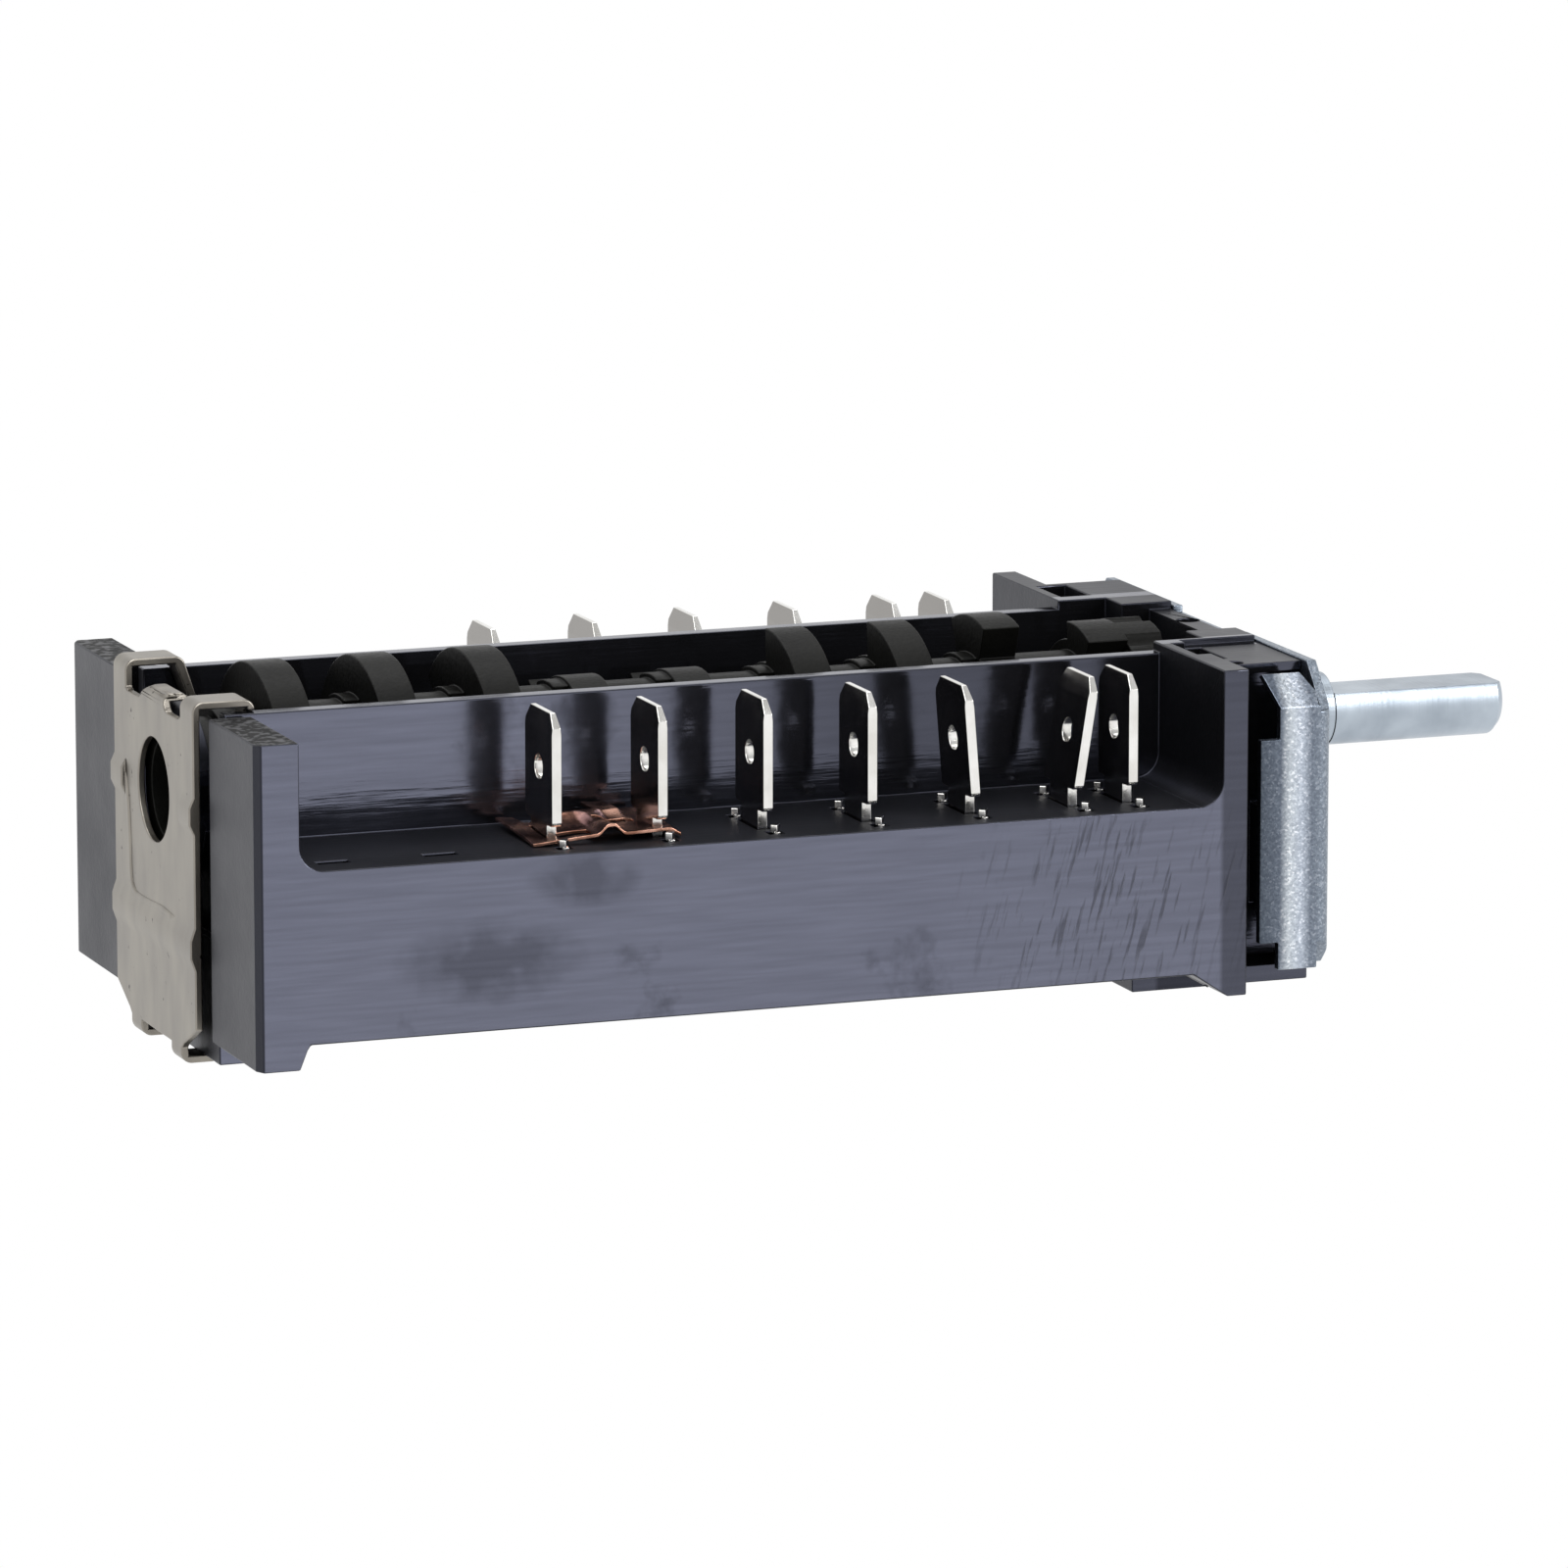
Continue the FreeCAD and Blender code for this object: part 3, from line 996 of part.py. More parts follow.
def staged(label):
    """Stages that carry a terminal on one side: the far side starts one stage later."""
    first = EMPTY + 1 if label == "near" else EMPTY + 2
    return list(range(first, CAMS + 1))


def make_copper_link():
    """Bent copper jumper that joins the first two near blades just above the floor."""
    first = tab_middle("near", EMPTY + 1)
    second = tab_middle("near", EMPTY + 2)
    crown = (first + second) / 2
    half = S["hump_width"] / 2
    low = link_low
    thick = S["link_thick"]
    rise = S["hump_height"]
    line = [(first - S["link_overhang"], floor_top + 0.02), (first, low - 0.1), (crown - half, low),
            (crown - half * 0.35, low + rise), (crown + half * 0.35, low + rise), (crown + half, low),
            (second, low), (second + S["link_overhang"] * 0.8, floor_top + 0.02)]
    upper = [(x, z + thick) for x, z in line]
    strip = prism("link_strip", "XZ", upper + line[::-1], -S["link_near_edge"], -S["link_far_edge"])
    tail = block("link_tail_strip", (crown + half, second + 0.8), (-S["link_far_edge"] - 0.1, -S["link_tail"]),
                 (low, low + thick))
    tools = []
    for index, middle in enumerate((first, second)):
        half_thick = S["tab_thick"] / 2 + 0.05
        half_neck = S["tab_neck"] / 2 + 0.05
        tools.append(block(f"link_slot_{index}", (middle - half_thick, middle + half_thick),
                           (-S["tab_centre"] - half_neck, -S["tab_centre"] + half_neck), (low - 1, low + 2)))
        tools.append(block(f"link_inner_{index}", (middle - 0.9, middle + 0.5), (-yoke_in - 1.2, -yoke_in + 0.2),
                           (low - 1, low + 3)))
    return without("copper_link", joined("link_bent", [strip, tail]), tools)


def make_base_cover():
    """Insulating sheet that closes the contact chambers from below."""
    gap = S["cover_gap"]
    sheet = block("cover_sheet", (keel_front + gap, keel_start - gap), (-cavity_side + gap, cavity_side - gap),
                  (cover_low, cover_top))
    holes = []
    for label, sign in SIDES:
        for stage in (1, CAMS):
            holes.append(rod(f"cover_hole_{label}_{stage}", "z", S["pin_radius"] + 0.1, cover_low - 1, cover_top + 1,
                             (cam_middle(stage) + 1, (wall_side - S["inner_wall"] / 2) * sign)))
    return without("base_cover", sheet, holes)


def make_detent_ball(label, sign):
    """Steel ball that a spring presses into the drum's grooves."""
    ball = doc.addObject("Part::Sphere", "detent_ball_" + label)
    ball.setExpression("Radius", formula(S["ball_radius"]))
    ball.setExpression("Placement.Base.x", formula(-S["detent_back"]))
    ball.setExpression("Placement.Base.y", formula(ball_rest * sign))
    return ball


def make_detent_spring(label, sign):
    """Coil spring between a detent ball and the outer end of its slot."""
    wire = S["spring_wire"]
    start = ball_rest + S["ball_radius"] + wire + 0.05
    finish = spring_end - wire - 0.02
    helix = doc.addObject("Part::Helix", "spring_line_" + label)
    helix.setExpression("Radius", formula(S["spring_radius"]))
    helix.setExpression("Pitch", formula((finish - start) / S["spring_turns"]))
    helix.setExpression("Height", formula(finish - start))
    ring = doc.addObject("Part::Circle", "spring_section_" + label)
    ring.setExpression("Radius", formula(wire))
    ring.Placement = FreeCAD.Placement(Vector(0, 0, 0), FreeCAD.Rotation(Vector(1, 0, 0), 90))
    ring.setExpression("Placement.Base.x", formula(S["spring_radius"]))
    coil = doc.addObject("Part::Sweep", "spring_coil_" + label)
    coil.Sections = [ring]
    coil.Spine = (helix, ["Edge1"])
    coil.Solid = True
    coil.Frenet = True
    spring = doc.addObject("Part::Compound", "detent_spring_" + label)
    spring.Links = [coil]
    spring.Placement = FreeCAD.Placement(Vector(0, 0, 0), FreeCAD.Rotation(Vector(1, 0, 0), -90 * sign))
    spring.setExpression("Placement.Base.x", formula(-S["detent_back"]))
    spring.setExpression("Placement.Base.y", formula(start * sign))
    return spring


def make_all():
    """Every sub-part, in the order in which the switch is put together."""
    nodes = [make_housing(), make_camshaft(), make_control_shaft(), make_front_bracket(), make_rear_plate()]
    for label, sign in SIDES:
        for stage in staged(label):
            nodes.append(make_terminal(label, sign, stage, tab_middle(label, stage), True))
            nodes.append(make_leaf(label, sign, stage))
        nodes.append(make_terminal(label, sign, "feed", feed_middle(label), False))
        nodes.append(make_supply_bar(label, sign))
        nodes.append(make_detent_ball(label, sign))
        nodes.append(make_detent_spring(label, sign))
    nodes += [make_moving_contacts(), make_fixed_contacts(), make_copper_link(), make_base_cover()]
    return nodes


def check_model(nodes):
    """Stop on a failed object or on a sub-part that is empty or not valid."""
    for item in doc.Objects:
        if "Invalid" in item.State or "Error" in item.State:
            raise RuntimeError(f"{item.Name} failed: {item.State}")
    for node in nodes:
        if node.Shape.isNull() or not node.Shape.isValid() or not node.Shape.Solids:
            raise RuntimeError(f"{node.Name} has no valid shape")


sub_parts = make_all()
doc.recompute()
check_model(sub_parts)
os.makedirs("parts", exist_ok=True)
for node in sub_parts:
    node.Label = node.Name
    node.Shape.exportStep(os.path.join("parts", node.Label + ".step"))
    box = node.Shape.BoundBox
    print(f"{node.Label:26s} solids {len(node.Shape.Solids):2d}  volume {node.Shape.Volume:9.2f}  "
          f"x {box.XMin:7.2f} {box.XMax:7.2f}  y {box.YMin:7.2f} {box.YMax:7.2f}  z {box.ZMin:7.2f} {box.ZMax:7.2f}")
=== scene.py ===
# %% [markdown]
# # A cooker's rotary cam switch
# The switch is a long black moulding with a camshaft in its open trough, a row of blade terminals
# down each side and a plated shaft through a steel bracket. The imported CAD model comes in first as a
# fixed frame. Pieces whose CAD shape is right stay as they are or get softer edges, and thin bent
# sheets are worked out again with numpy, because their rolled edges and creases carry the look.

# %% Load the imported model
import json
import math

import bmesh
import bpy
import numpy as np
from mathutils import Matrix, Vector


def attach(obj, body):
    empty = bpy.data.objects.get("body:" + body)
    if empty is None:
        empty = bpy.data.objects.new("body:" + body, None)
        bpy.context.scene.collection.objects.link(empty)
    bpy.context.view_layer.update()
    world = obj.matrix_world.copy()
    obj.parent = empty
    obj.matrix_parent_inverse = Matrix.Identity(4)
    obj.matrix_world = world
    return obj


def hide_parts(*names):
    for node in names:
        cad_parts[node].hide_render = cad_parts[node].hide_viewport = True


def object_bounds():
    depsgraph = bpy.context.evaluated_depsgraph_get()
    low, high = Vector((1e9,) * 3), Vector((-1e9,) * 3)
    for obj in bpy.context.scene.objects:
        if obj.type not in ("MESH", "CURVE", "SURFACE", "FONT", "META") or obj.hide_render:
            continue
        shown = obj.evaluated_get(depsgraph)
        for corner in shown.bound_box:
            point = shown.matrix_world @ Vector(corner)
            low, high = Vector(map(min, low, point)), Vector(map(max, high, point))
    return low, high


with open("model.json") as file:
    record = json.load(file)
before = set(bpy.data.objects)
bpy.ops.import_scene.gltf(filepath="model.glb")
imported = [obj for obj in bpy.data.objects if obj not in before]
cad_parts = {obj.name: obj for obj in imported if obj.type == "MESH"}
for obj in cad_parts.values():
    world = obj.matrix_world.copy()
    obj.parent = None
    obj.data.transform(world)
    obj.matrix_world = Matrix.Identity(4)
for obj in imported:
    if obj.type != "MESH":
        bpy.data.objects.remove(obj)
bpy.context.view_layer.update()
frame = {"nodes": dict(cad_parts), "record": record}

NODES = frame["nodes"]
SLOTS = {row["node"]: row["material_slot"] for row in frame["record"]["subparts"]}
BODIES = {node: body for body, group in frame["record"]["behaviour"]["bodies"].items() for node in group}
MM = 0.001
print(len(NODES), "CAD nodes")

# %% [markdown]
# ## Materials
# Colours are written as sRGB hex values, as a paint chart gives them, and Blender's shaders want
# linear light, so one function converts them. Another adds a node with its options, its sockets and
# the stops of a colour ramp. A pattern is measured on the Object coordinates, which are metres on
# the part itself, so a scale of 1000 gives waves about a millimetre long.

# %% Colour and node helpers
def linear(code):
    """Linear RGBA of an sRGB hex colour: c / 12.92 up to 0.04045, else ((c + 0.055) / 1.055) ^ 2.4."""
    values = np.array([int(code[i:i + 2], 16) for i in (1, 3, 5)]) / 255
    light = np.where(values <= 0.04045, values / 12.92, ((values + 0.055) / 1.055) ** 2.4)
    return (*light.tolist(), 1.0)


def add(material, kind, sockets=(), stops=(), **options):
    """Adds one node with its own options. Its sockets are named in a dict or listed in their order, and
    each gets a plain value or a link, written (node, output). Stops fill a colour ramp."""
    tree = material.node_tree
    node = tree.nodes.new("ShaderNode" + kind)
    for name, value in options.items():
        setattr(node, name, value)
    named = sockets if isinstance(sockets, dict) else dict(enumerate(sockets))
    for name, value in named.items():
        if isinstance(value, tuple) and isinstance(value[0], bpy.types.Node):
            tree.links.new(value[0].outputs[value[1]], node.inputs[name])
        else:
            node.inputs[name].default_value = value
    if stops:
        ramp = node.color_ramp
        while len(ramp.elements) < len(stops):
            ramp.elements.new(0.5)
        for element, (position, code) in zip(ramp.elements, stops):
            element.position = position
            element.color = linear(code)
    return node


def start_material(name, **values):
    """New material whose shader has these plain values; returns it, its shader and object coordinates."""
    material = bpy.data.materials.new(name)
    material.use_nodes = True
    shader = material.node_tree.nodes["Principled BSDF"]
    for socket, value in values.items():
        shader.inputs[socket.replace("_", " ")].default_value = value
    place = add(material, "TexCoord")
    return material, shader, (place, "Object")


def feed(material, shader, socket, node, output):
    """Links a node's output to one of the shader's sockets."""
    material.node_tree.links.new(node.outputs[output], shader.inputs[socket])


# %% [markdown]
# Where a surface faces matters here, because in the photo the mould's side plates mirror and its ends
# and tops hardly do. One helper gives how far a face points along an axis, from 0 to 1, out of the
# object's normal. Another lays stretched noise over the part, which makes drag lines, rolling lines
# and rings. A Map Range node turns a stretch of such a value into a mask or a roughness, and a chain
# of products puts several masks together.

# %% Helpers for facing, stretched noise and products
# The Mix node has a set of sockets for each type of data: these are its colours, in and out.
SHARE, FIRST_COLOUR, SECOND_COLOUR, MIXED_COLOUR = 0, 6, 7, 2


def facing(material, axis):
    """Absolute value of the object normal's X, Y or Z."""
    place = add(material, "TexCoord")
    split = add(material, "SeparateXYZ", [(place, "Normal")])
    return add(material, "Math", [(split, axis)], operation="ABSOLUTE"), "Value"


def stretched_noise(material, place, scales, turn=(0.0, 0.0, 0.0), detail=3.0):
    """Noise whose grain is 1 / scale metres long along each axis, and whose axes are turned."""
    grain = tuple(1 / scale for scale in scales)
    space = add(material, "Mapping", {"Vector": place, "Rotation": turn, "Scale": grain},
                vector_type="TEXTURE")
    return add(material, "TexNoise", {"Vector": (space, "Vector"), "Scale": 1.0, "Detail": detail})


def product(material, *shares):
    """All the shares multiplied, each written (node, output), by a chain of Math nodes."""
    total = shares[0]
    for share in shares[1:]:
        total = (add(material, "Math", [total, share], operation="MULTIPLY"), "Value")
    return total


# %% [markdown]
# Phenolic is a pressed black resin. Its sides mirror the white ground in front as a cool grey, so
# their share of mirrored light is high, and the ends and tops are duller. Faint drag lines run along
# the housing and ruffle the mirror images of the blades. The masks below follow tones of the photo
# whose cause is not known: dark smudges and slanted lines on the near side, a front column and bay
# walls that mirror less, bright tops of the long walls and pitted tops of the rear posts.

# %% Places on the housing
# Each pair is a narrow range in which one stretch of the housing ends and the next starts.
BAY_SIDE = (12.5 * MM, 13.0 * MM)
WALL_TOP_INSIDE = (9.8 * MM, 9.9 * MM)
WALL_TOP_OUTSIDE = (11.5 * MM, 11.6 * MM)
POST_FRONT = (-83.5 * MM, -83.0 * MM)
BAY_SHADE_FADE = (-62.0 * MM, -34.0 * MM)
COLUMN_REAR = (-9.7 * MM, -9.3 * MM)
# Each smudge has its middle, its reach along the housing and its reach up and down, all in mm.
SMUDGES = [((-69.8, -24.3, -10.2), 10.0, 4.5), ((-62.1, -24.3, -4.3), 6.0, 3.0)]
SMUDGE_DEPTH = 3.0
SCRATCHES = ((-19.0, -24.3, -9.5), (15.0, 6.0, 12.0))
print(len(SMUDGES), "smudges")


# %% Masks of the near side's marks and the bay walls
def ball_mask(material, place, middle_mm, reach_mm):
    """1 in the middle of an ellipsoid, falling evenly to 0 at its reach along each axis."""
    spot = add(material, "Mapping", {"Vector": place, "Location": tuple(value * MM for value in middle_mm),
                                     "Scale": tuple(value * MM for value in reach_mm)}, vector_type="TEXTURE")
    return add(material, "TexGradient", [(spot, "Vector")], gradient_type="SPHERICAL"), "Fac"


def smudge_loss(material, place):
    """Share of the mirror left on the near side's smudges: a cloudy dark patch round each middle."""
    share = None
    cloud = add(material, "TexNoise", {"Vector": place, "Scale": 420.0, "Detail": 5.0})
    for middle, wide, tall in SMUDGES:
        near = ball_mask(material, place, middle, (wide, SMUDGE_DEPTH, tall))
        reach = product(material, near, (cloud, "Fac"))
        patch = (add(material, "MapRange", [reach, 0.1, 0.34, 1.0, 0.62]), "Result")
        if share is not None:
            patch = (add(material, "Math", [share, patch], operation="MINIMUM"), "Value")
        share = patch
    return share


def from_middle(material, along):
    """Distance from the housing's middle plane, in metres."""
    return add(material, "Math", [(along, "Y")], operation="ABSOLUTE"), "Value"


def bay_walls_painted_shade(material, along):
    """Share of the mirror that the bays' inner walls keep: all near the rear, less than half in front, where
    the loss is painted shade from the blades.
    """
    inner = add(material, "MapRange", [from_middle(material, along), *BAY_SIDE, 1.0, 0.0])
    # Towards the front the bay walls lose mirror as painted shade from the blades.
    front = add(material, "MapRange", [(along, "X"), *BAY_SHADE_FADE, 0.0, 0.55])
    loss = product(material, (inner, "Result"), (front, "Result"))
    return add(material, "Math", [1.0, loss], operation="SUBTRACT"), "Value"


# %% Masks of the tops
def upward(material, along):
    """1 on the level faces above the shaft's axis, and 0 on the sides and on everything underneath."""
    level = add(material, "MapRange", [facing(material, "Z"), 0.9, 0.98])
    above = add(material, "MapRange", [(along, "Z"), 0.0, 1.0 * MM])
    return product(material, (level, "Result"), (above, "Result"))


def pitted_posts(material, place, along):
    """Share of the mirror on upward faces: the rear posts' tops have dull pits, the rest is whole."""
    beside = add(material, "MapRange", [from_middle(material, along), *BAY_SIDE])
    rear = add(material, "MapRange", [(along, "X"), *POST_FRONT, 1.0, 0.0])
    pits = add(material, "TexNoise", {"Vector": place, "Scale": 1300.0, "Detail": 5.0})
    depth = add(material, "MapRange", [(pits, "Fac"), 0.5, 0.66, 0.95, 0.0])
    loss = product(material, (beside, "Result"), (rear, "Result"), upward(material, along), (depth, "Result"))
    return add(material, "MapRange", [loss, 0.0, 1.0, 1.0, 0.0]), "Result"


def bright_wall_tops(material, along):
    """1 on the tops of the long walls beside the cams, which the photo shows bright, and 0 elsewhere."""
    out = from_middle(material, along)
    inner = add(material, "MapRange", [out, *WALL_TOP_INSIDE])
    outer = add(material, "MapRange", [out, *WALL_TOP_OUTSIDE, 1.0, 0.0])
    return product(material, (inner, "Result"), (outer, "Result"), upward(material, along))


# %% Moulded black phenolic, for the housing
def side_mirror(material, place, along, side, smudge, drag, scratch):
    """Share of mirrored light on the sides: clouds and drag lines, less what each mark and the bay walls'
    painted shade take away.
    """
    clean = add(material, "MapRange", [(smudge, "Fac"), 0.62, 0.7, 0.5, 0.3])
    streaks = add(material, "MapRange", [(drag, "Fac"), 0.3, 0.7, 0.88, 1.06])
    column = add(material, "MapRange", [(along, "X"), *COLUMN_REAR, 1.0, 0.5])
    worn = add(material, "MapRange", [scratch, 0.0, 0.5, 1.0, 0.6])
    return product(material, side, (clean, "Result"), (streaks, "Result"), (column, "Result"),
                   smudge_loss(material, place), bay_walls_painted_shade(material, along), (worn, "Result"))


def pressed_phenolic():
    """Black resin, IOR raised to 2.75 so that its sides mirror as strongly as in the photo."""
    material, shader, place = start_material("pressed_phenolic", IOR=2.75, Metallic=0.0)
    shader.inputs["Base Color"].default_value = linear("#0b0b0c")
    shader.inputs["Specular Tint"].default_value = linear("#dce1ff")
    along = add(material, "SeparateXYZ", [place])
    smudge = add(material, "TexNoise", {"Vector": place, "Scale": 75.0, "Detail": 6.0, "Roughness": 0.62})
    drag = stretched_noise(material, place, (130, 2600, 2600))
    slant = stretched_noise(material, place, (3300, 100, 260), (0.0, 0.25, 0.0))
    lines = add(material, "MapRange", [(slant, "Fac"), 0.56, 0.7])
    scratch = product(material, (lines, "Result"), ball_mask(material, place, *SCRATCHES))
    side = (add(material, "MapRange", [facing(material, "Y"), 0.86, 0.98]), "Result")
    mirror = side_mirror(material, place, along, side, smudge, drag, scratch)
    wall_top = bright_wall_tops(material, along)
    upper = add(material, "MapRange", [wall_top, 0.0, 1.0, 0.09, 0.34])
    pitted = product(material, (upper, "Result"), pitted_posts(material, place, along))
    level = add(material, "Math", [mirror, pitted], operation="MAXIMUM")
    feed(material, shader, "Specular IOR Level", level, "Value")
    haze = add(material, "MapRange", [(smudge, "Fac"), 0.35, 0.7, 0.1, 0.2])
    dull = add(material, "MapRange", [side, 0.0, 1.0, 0.24, 0.0])
    unpolished = add(material, "MapRange", [wall_top, 0.0, 1.0, 1.0, 0.1])
    matt = product(material, (dull, "Result"), (unpolished, "Result"))
    rough = add(material, "Math", [(haze, "Result"), matt], operation="ADD")
    feed(material, shader, "Roughness", rough, "Value")
    waves = add(material, "TexNoise", {"Vector": place, "Scale": 320.0, "Detail": 2.0})
    wavy = add(material, "Bump", {"Height": (waves, "Fac"), "Strength": 0.5, "Distance": 0.06 * MM})
    dragged = add(material, "Bump", {"Height": (drag, "Fac"), "Normal": (wavy, "Normal"),
                                     "Strength": 0.6, "Distance": 0.03 * MM})
    scratched = add(material, "Bump", {"Height": scratch, "Normal": (dragged, "Normal"),
                                       "Strength": 1.0, "Distance": 0.12 * MM})
    feed(material, shader, "Normal", scratched, "Normal")
    return material


# %% [markdown]
# The camshaft looks matt and nearly black with a little olive. It is taken for a softer moulding with
# a fine sparked texture from its mould, and paler patches stand for dust.

# %% Matt moulded camshaft
def sparked_moulding():
    """Matt black with a little olive; the grain is a third of a millimetre."""
    material, shader, place = start_material("sparked_moulding", Specular_IOR_Level=0.1, Metallic=0.0)
    grain = add(material, "TexNoise", {"Vector": place, "Scale": 3000.0, "Detail": 4.0})
    dust = add(material, "TexNoise", {"Vector": place, "Scale": 210.0, "Detail": 4.0})
    tint = add(material, "ValToRGB", [(dust, "Fac")], [(0.35, "#070706"), (0.6, "#0d0d0b"), (0.8, "#171714")])
    feed(material, shader, "Base Color", tint, "Color")
    rough = add(material, "MapRange", [(grain, "Fac"), 0.0, 1.0, 0.3, 0.52])
    feed(material, shader, "Roughness", rough, "Result")
    relief = add(material, "Bump", {"Height": (grain, "Fac"), "Strength": 0.3, "Distance": 0.08 * MM})
    feed(material, shader, "Normal", relief, "Normal")
    return material


# %% [markdown]
# The control shaft looks turned and then zinc plated: fine rings round it, a cool bluish white and a
# soft mirror. The rings are drawn a quarter of a millimetre apart, a little coarser than real ones,
# so that they show.

# %% Turned and zinc plated shaft
def plated_turning():
    """Zinc: cloudy bluish white, with rings 1/4000 m apart along the shaft."""
    material, shader, place = start_material("plated_turning", Metallic=1.0)
    rings = stretched_noise(material, place, (4000, 40, 40), detail=2.0)
    cloud = add(material, "TexNoise", {"Vector": place, "Scale": 260.0, "Detail": 3.0})
    tint = add(material, "ValToRGB", [(cloud, "Fac")], [(0.3, "#9ca6b1"), (0.7, "#bac4ce")])
    feed(material, shader, "Base Color", tint, "Color")
    rough = add(material, "MapRange", [(rings, "Fac"), 0.0, 1.0, 0.22, 0.42])
    feed(material, shader, "Roughness", rough, "Result")
    relief = add(material, "Bump", {"Height": (rings, "Fac"), "Strength": 0.2, "Distance": 0.04 * MM})
    feed(material, shader, "Normal", relief, "Normal")
    return material


# %% [markdown]
# The bracket is pressed from galvanised sheet. Its zinc froze in fine crystals, so its grey changes
# from grain to grain, under half a millimetre across, and single grains glint. In the photo the
# flanges also carry a bright reflection between dull bands. A row of colours across the flanges, from
# their rear edge to the mounting face, follows it, so it is painted on and does not move with the light.

# %% Galvanised sheet
FLANGE = (-6.2 * MM, 0.0)
FLANGE_PAINTED_REFLECTION = [(0.0, "#6b7079"), (0.27, "#888d97"), (0.4, "#ffffff"), (0.56, "#f6f8ff"), (0.7, "#9a9fa9"),
                (1.0, "#bfc4cb")]
ZINC_TONES = [(0.0, "#a9b0b8"), (0.55, "#bcc3ca"), (0.85, "#ccd3d9"), (1.0, "#eef1f4")]


def galvanised_sheet():
    """A grey of its own for each Voronoi cell, 1/6200 m wide, times the painted reflection bands across the
    flanges.
    """
    material, shader, place = start_material("galvanised_sheet", Metallic=1.0)
    crystals = add(material, "TexVoronoi", {"Vector": place, "Scale": 6200.0})
    speckle = add(material, "TexNoise", {"Vector": place, "Scale": 4200.0, "Detail": 4.0})
    tone = add(material, "SeparateColor", [(crystals, "Color")])
    tint = add(material, "ValToRGB", [(tone, "Red")], ZINC_TONES)
    along = add(material, "SeparateXYZ", [place])
    across = add(material, "MapRange", [(along, "X"), *FLANGE])
    # The flanges' bright band between dull ones is a painted reflection, fixed across the flanges.
    bend = add(material, "ValToRGB", [(across, "Result")], FLANGE_PAINTED_REFLECTION)
    banded = add(material, "Mix", {SHARE: 1.0, FIRST_COLOUR: (tint, "Color"), SECOND_COLOUR: (bend, "Color")},
                 data_type="RGBA", blend_type="MULTIPLY")
    feed(material, shader, "Base Color", banded, MIXED_COLOUR)
    rough = add(material, "MapRange", [(speckle, "Fac"), 0.3, 0.7, 0.26, 0.46])
    feed(material, shader, "Roughness", rough, "Result")
    relief = add(material, "Bump", {"Height": (speckle, "Fac"), "Strength": 0.5, "Distance": 0.05 * MM})
    feed(material, shader, "Normal", relief, "Normal")
    return material


# %% [markdown]
# The rear plate looks like spring steel with a satin grey skin: warmer and darker than zinc, with
# rolling lines and a sprinkle of dark specks.

# %% Satin spring plate
def satin_plate():
    """Warm grey steel, rolled in soft streaks, with dark specks where a fine noise peaks."""
    material, shader, place = start_material("satin_plate", Metallic=1.0)
    rolled = stretched_noise(material, place, (400, 420, 160))
    specks = add(material, "TexNoise", {"Vector": place, "Scale": 1300.0, "Detail": 2.0})
    base = add(material, "ValToRGB", [(rolled, "Fac")], [(0.3, "#858079"), (0.7, "#9d988f")])
    dark = add(material, "MapRange", [(specks, "Fac"), 0.71, 0.76])
    mixed = add(material, "Mix", {SHARE: (dark, "Result"), FIRST_COLOUR: (base, "Color"),
                                  SECOND_COLOUR: linear("#4a4642")}, data_type="RGBA")
    feed(material, shader, "Base Color", mixed, MIXED_COLOUR)
    rough = add(material, "MapRange", [(rolled, "Fac"), 0.0, 1.0, 0.28, 0.44])
    feed(material, shader, "Roughness", rough, "Result")
    relief = add(material, "Bump", {"Height": (rolled, "Fac"), "Strength": 0.15, "Distance": 0.05 * MM})
    feed(material, shader, "Normal", relief, "Normal")
    return material


# %% [markdown]
# The other metals are strips and wire, and differ only in colour, gloss and how far their stains
# spread, so one function makes them all from a table: stain size in millimetres, two colours and a
# range of roughness.

# %% Strip and wire metals
STRIPS = {
    "nickel_plated_strip": (3.0, "#e2e0db", "#f2f1ee", 0.12, 0.24),
    "rolled_spring_bronze": (2.0, "#a5783f", "#c79a5c", 0.22, 0.36),
    "rolled_brass_bar": (4.0, "#a98a45", "#cdb06a", 0.24, 0.4),
    "pressed_silver": (1.0, "#b9b7b0", "#dcdad3", 0.2, 0.34),
    "bare_copper_strip": (2.2, "#9c6a55", "#e3b09a", 0.14, 0.3),
    "polished_ball": (5.0, "#c6c8cc", "#dfe1e4", 0.05, 0.1),
    "drawn_spring_wire": (1.5, "#8f8f92", "#b4b4b8", 0.2, 0.34),
}


def metal_strip(name):
    """Metal of the table: one cloudy noise sets its colour, its roughness and a faint relief."""
    stain, dark, light, smooth, rough = STRIPS[name]
    material, shader, place = start_material(name, Metallic=1.0)
    clouds = add(material, "TexNoise", {"Vector": place, "Scale": 1000 / stain, "Detail": 4.0})
    tint = add(material, "ValToRGB", [(clouds, "Fac")], [(0.35, dark), (0.62, light)])
    feed(material, shader, "Base Color", tint, "Color")
    gloss = add(material, "MapRange", [(clouds, "Fac"), 0.3, 0.7, smooth, rough])
    feed(material, shader, "Roughness", gloss, "Result")
    relief = add(material, "Bump", {"Height": (clouds, "Fac"), "Strength": 0.08, "Distance": 0.05 * MM})
    feed(material, shader, "Normal", relief, "Normal")
    return material


# %% [markdown]
# The blades are strips of the same kind. The photo shows their broad faces, which look along the
# shaft, much darker than their narrow edges, so those faces get a darker grey.

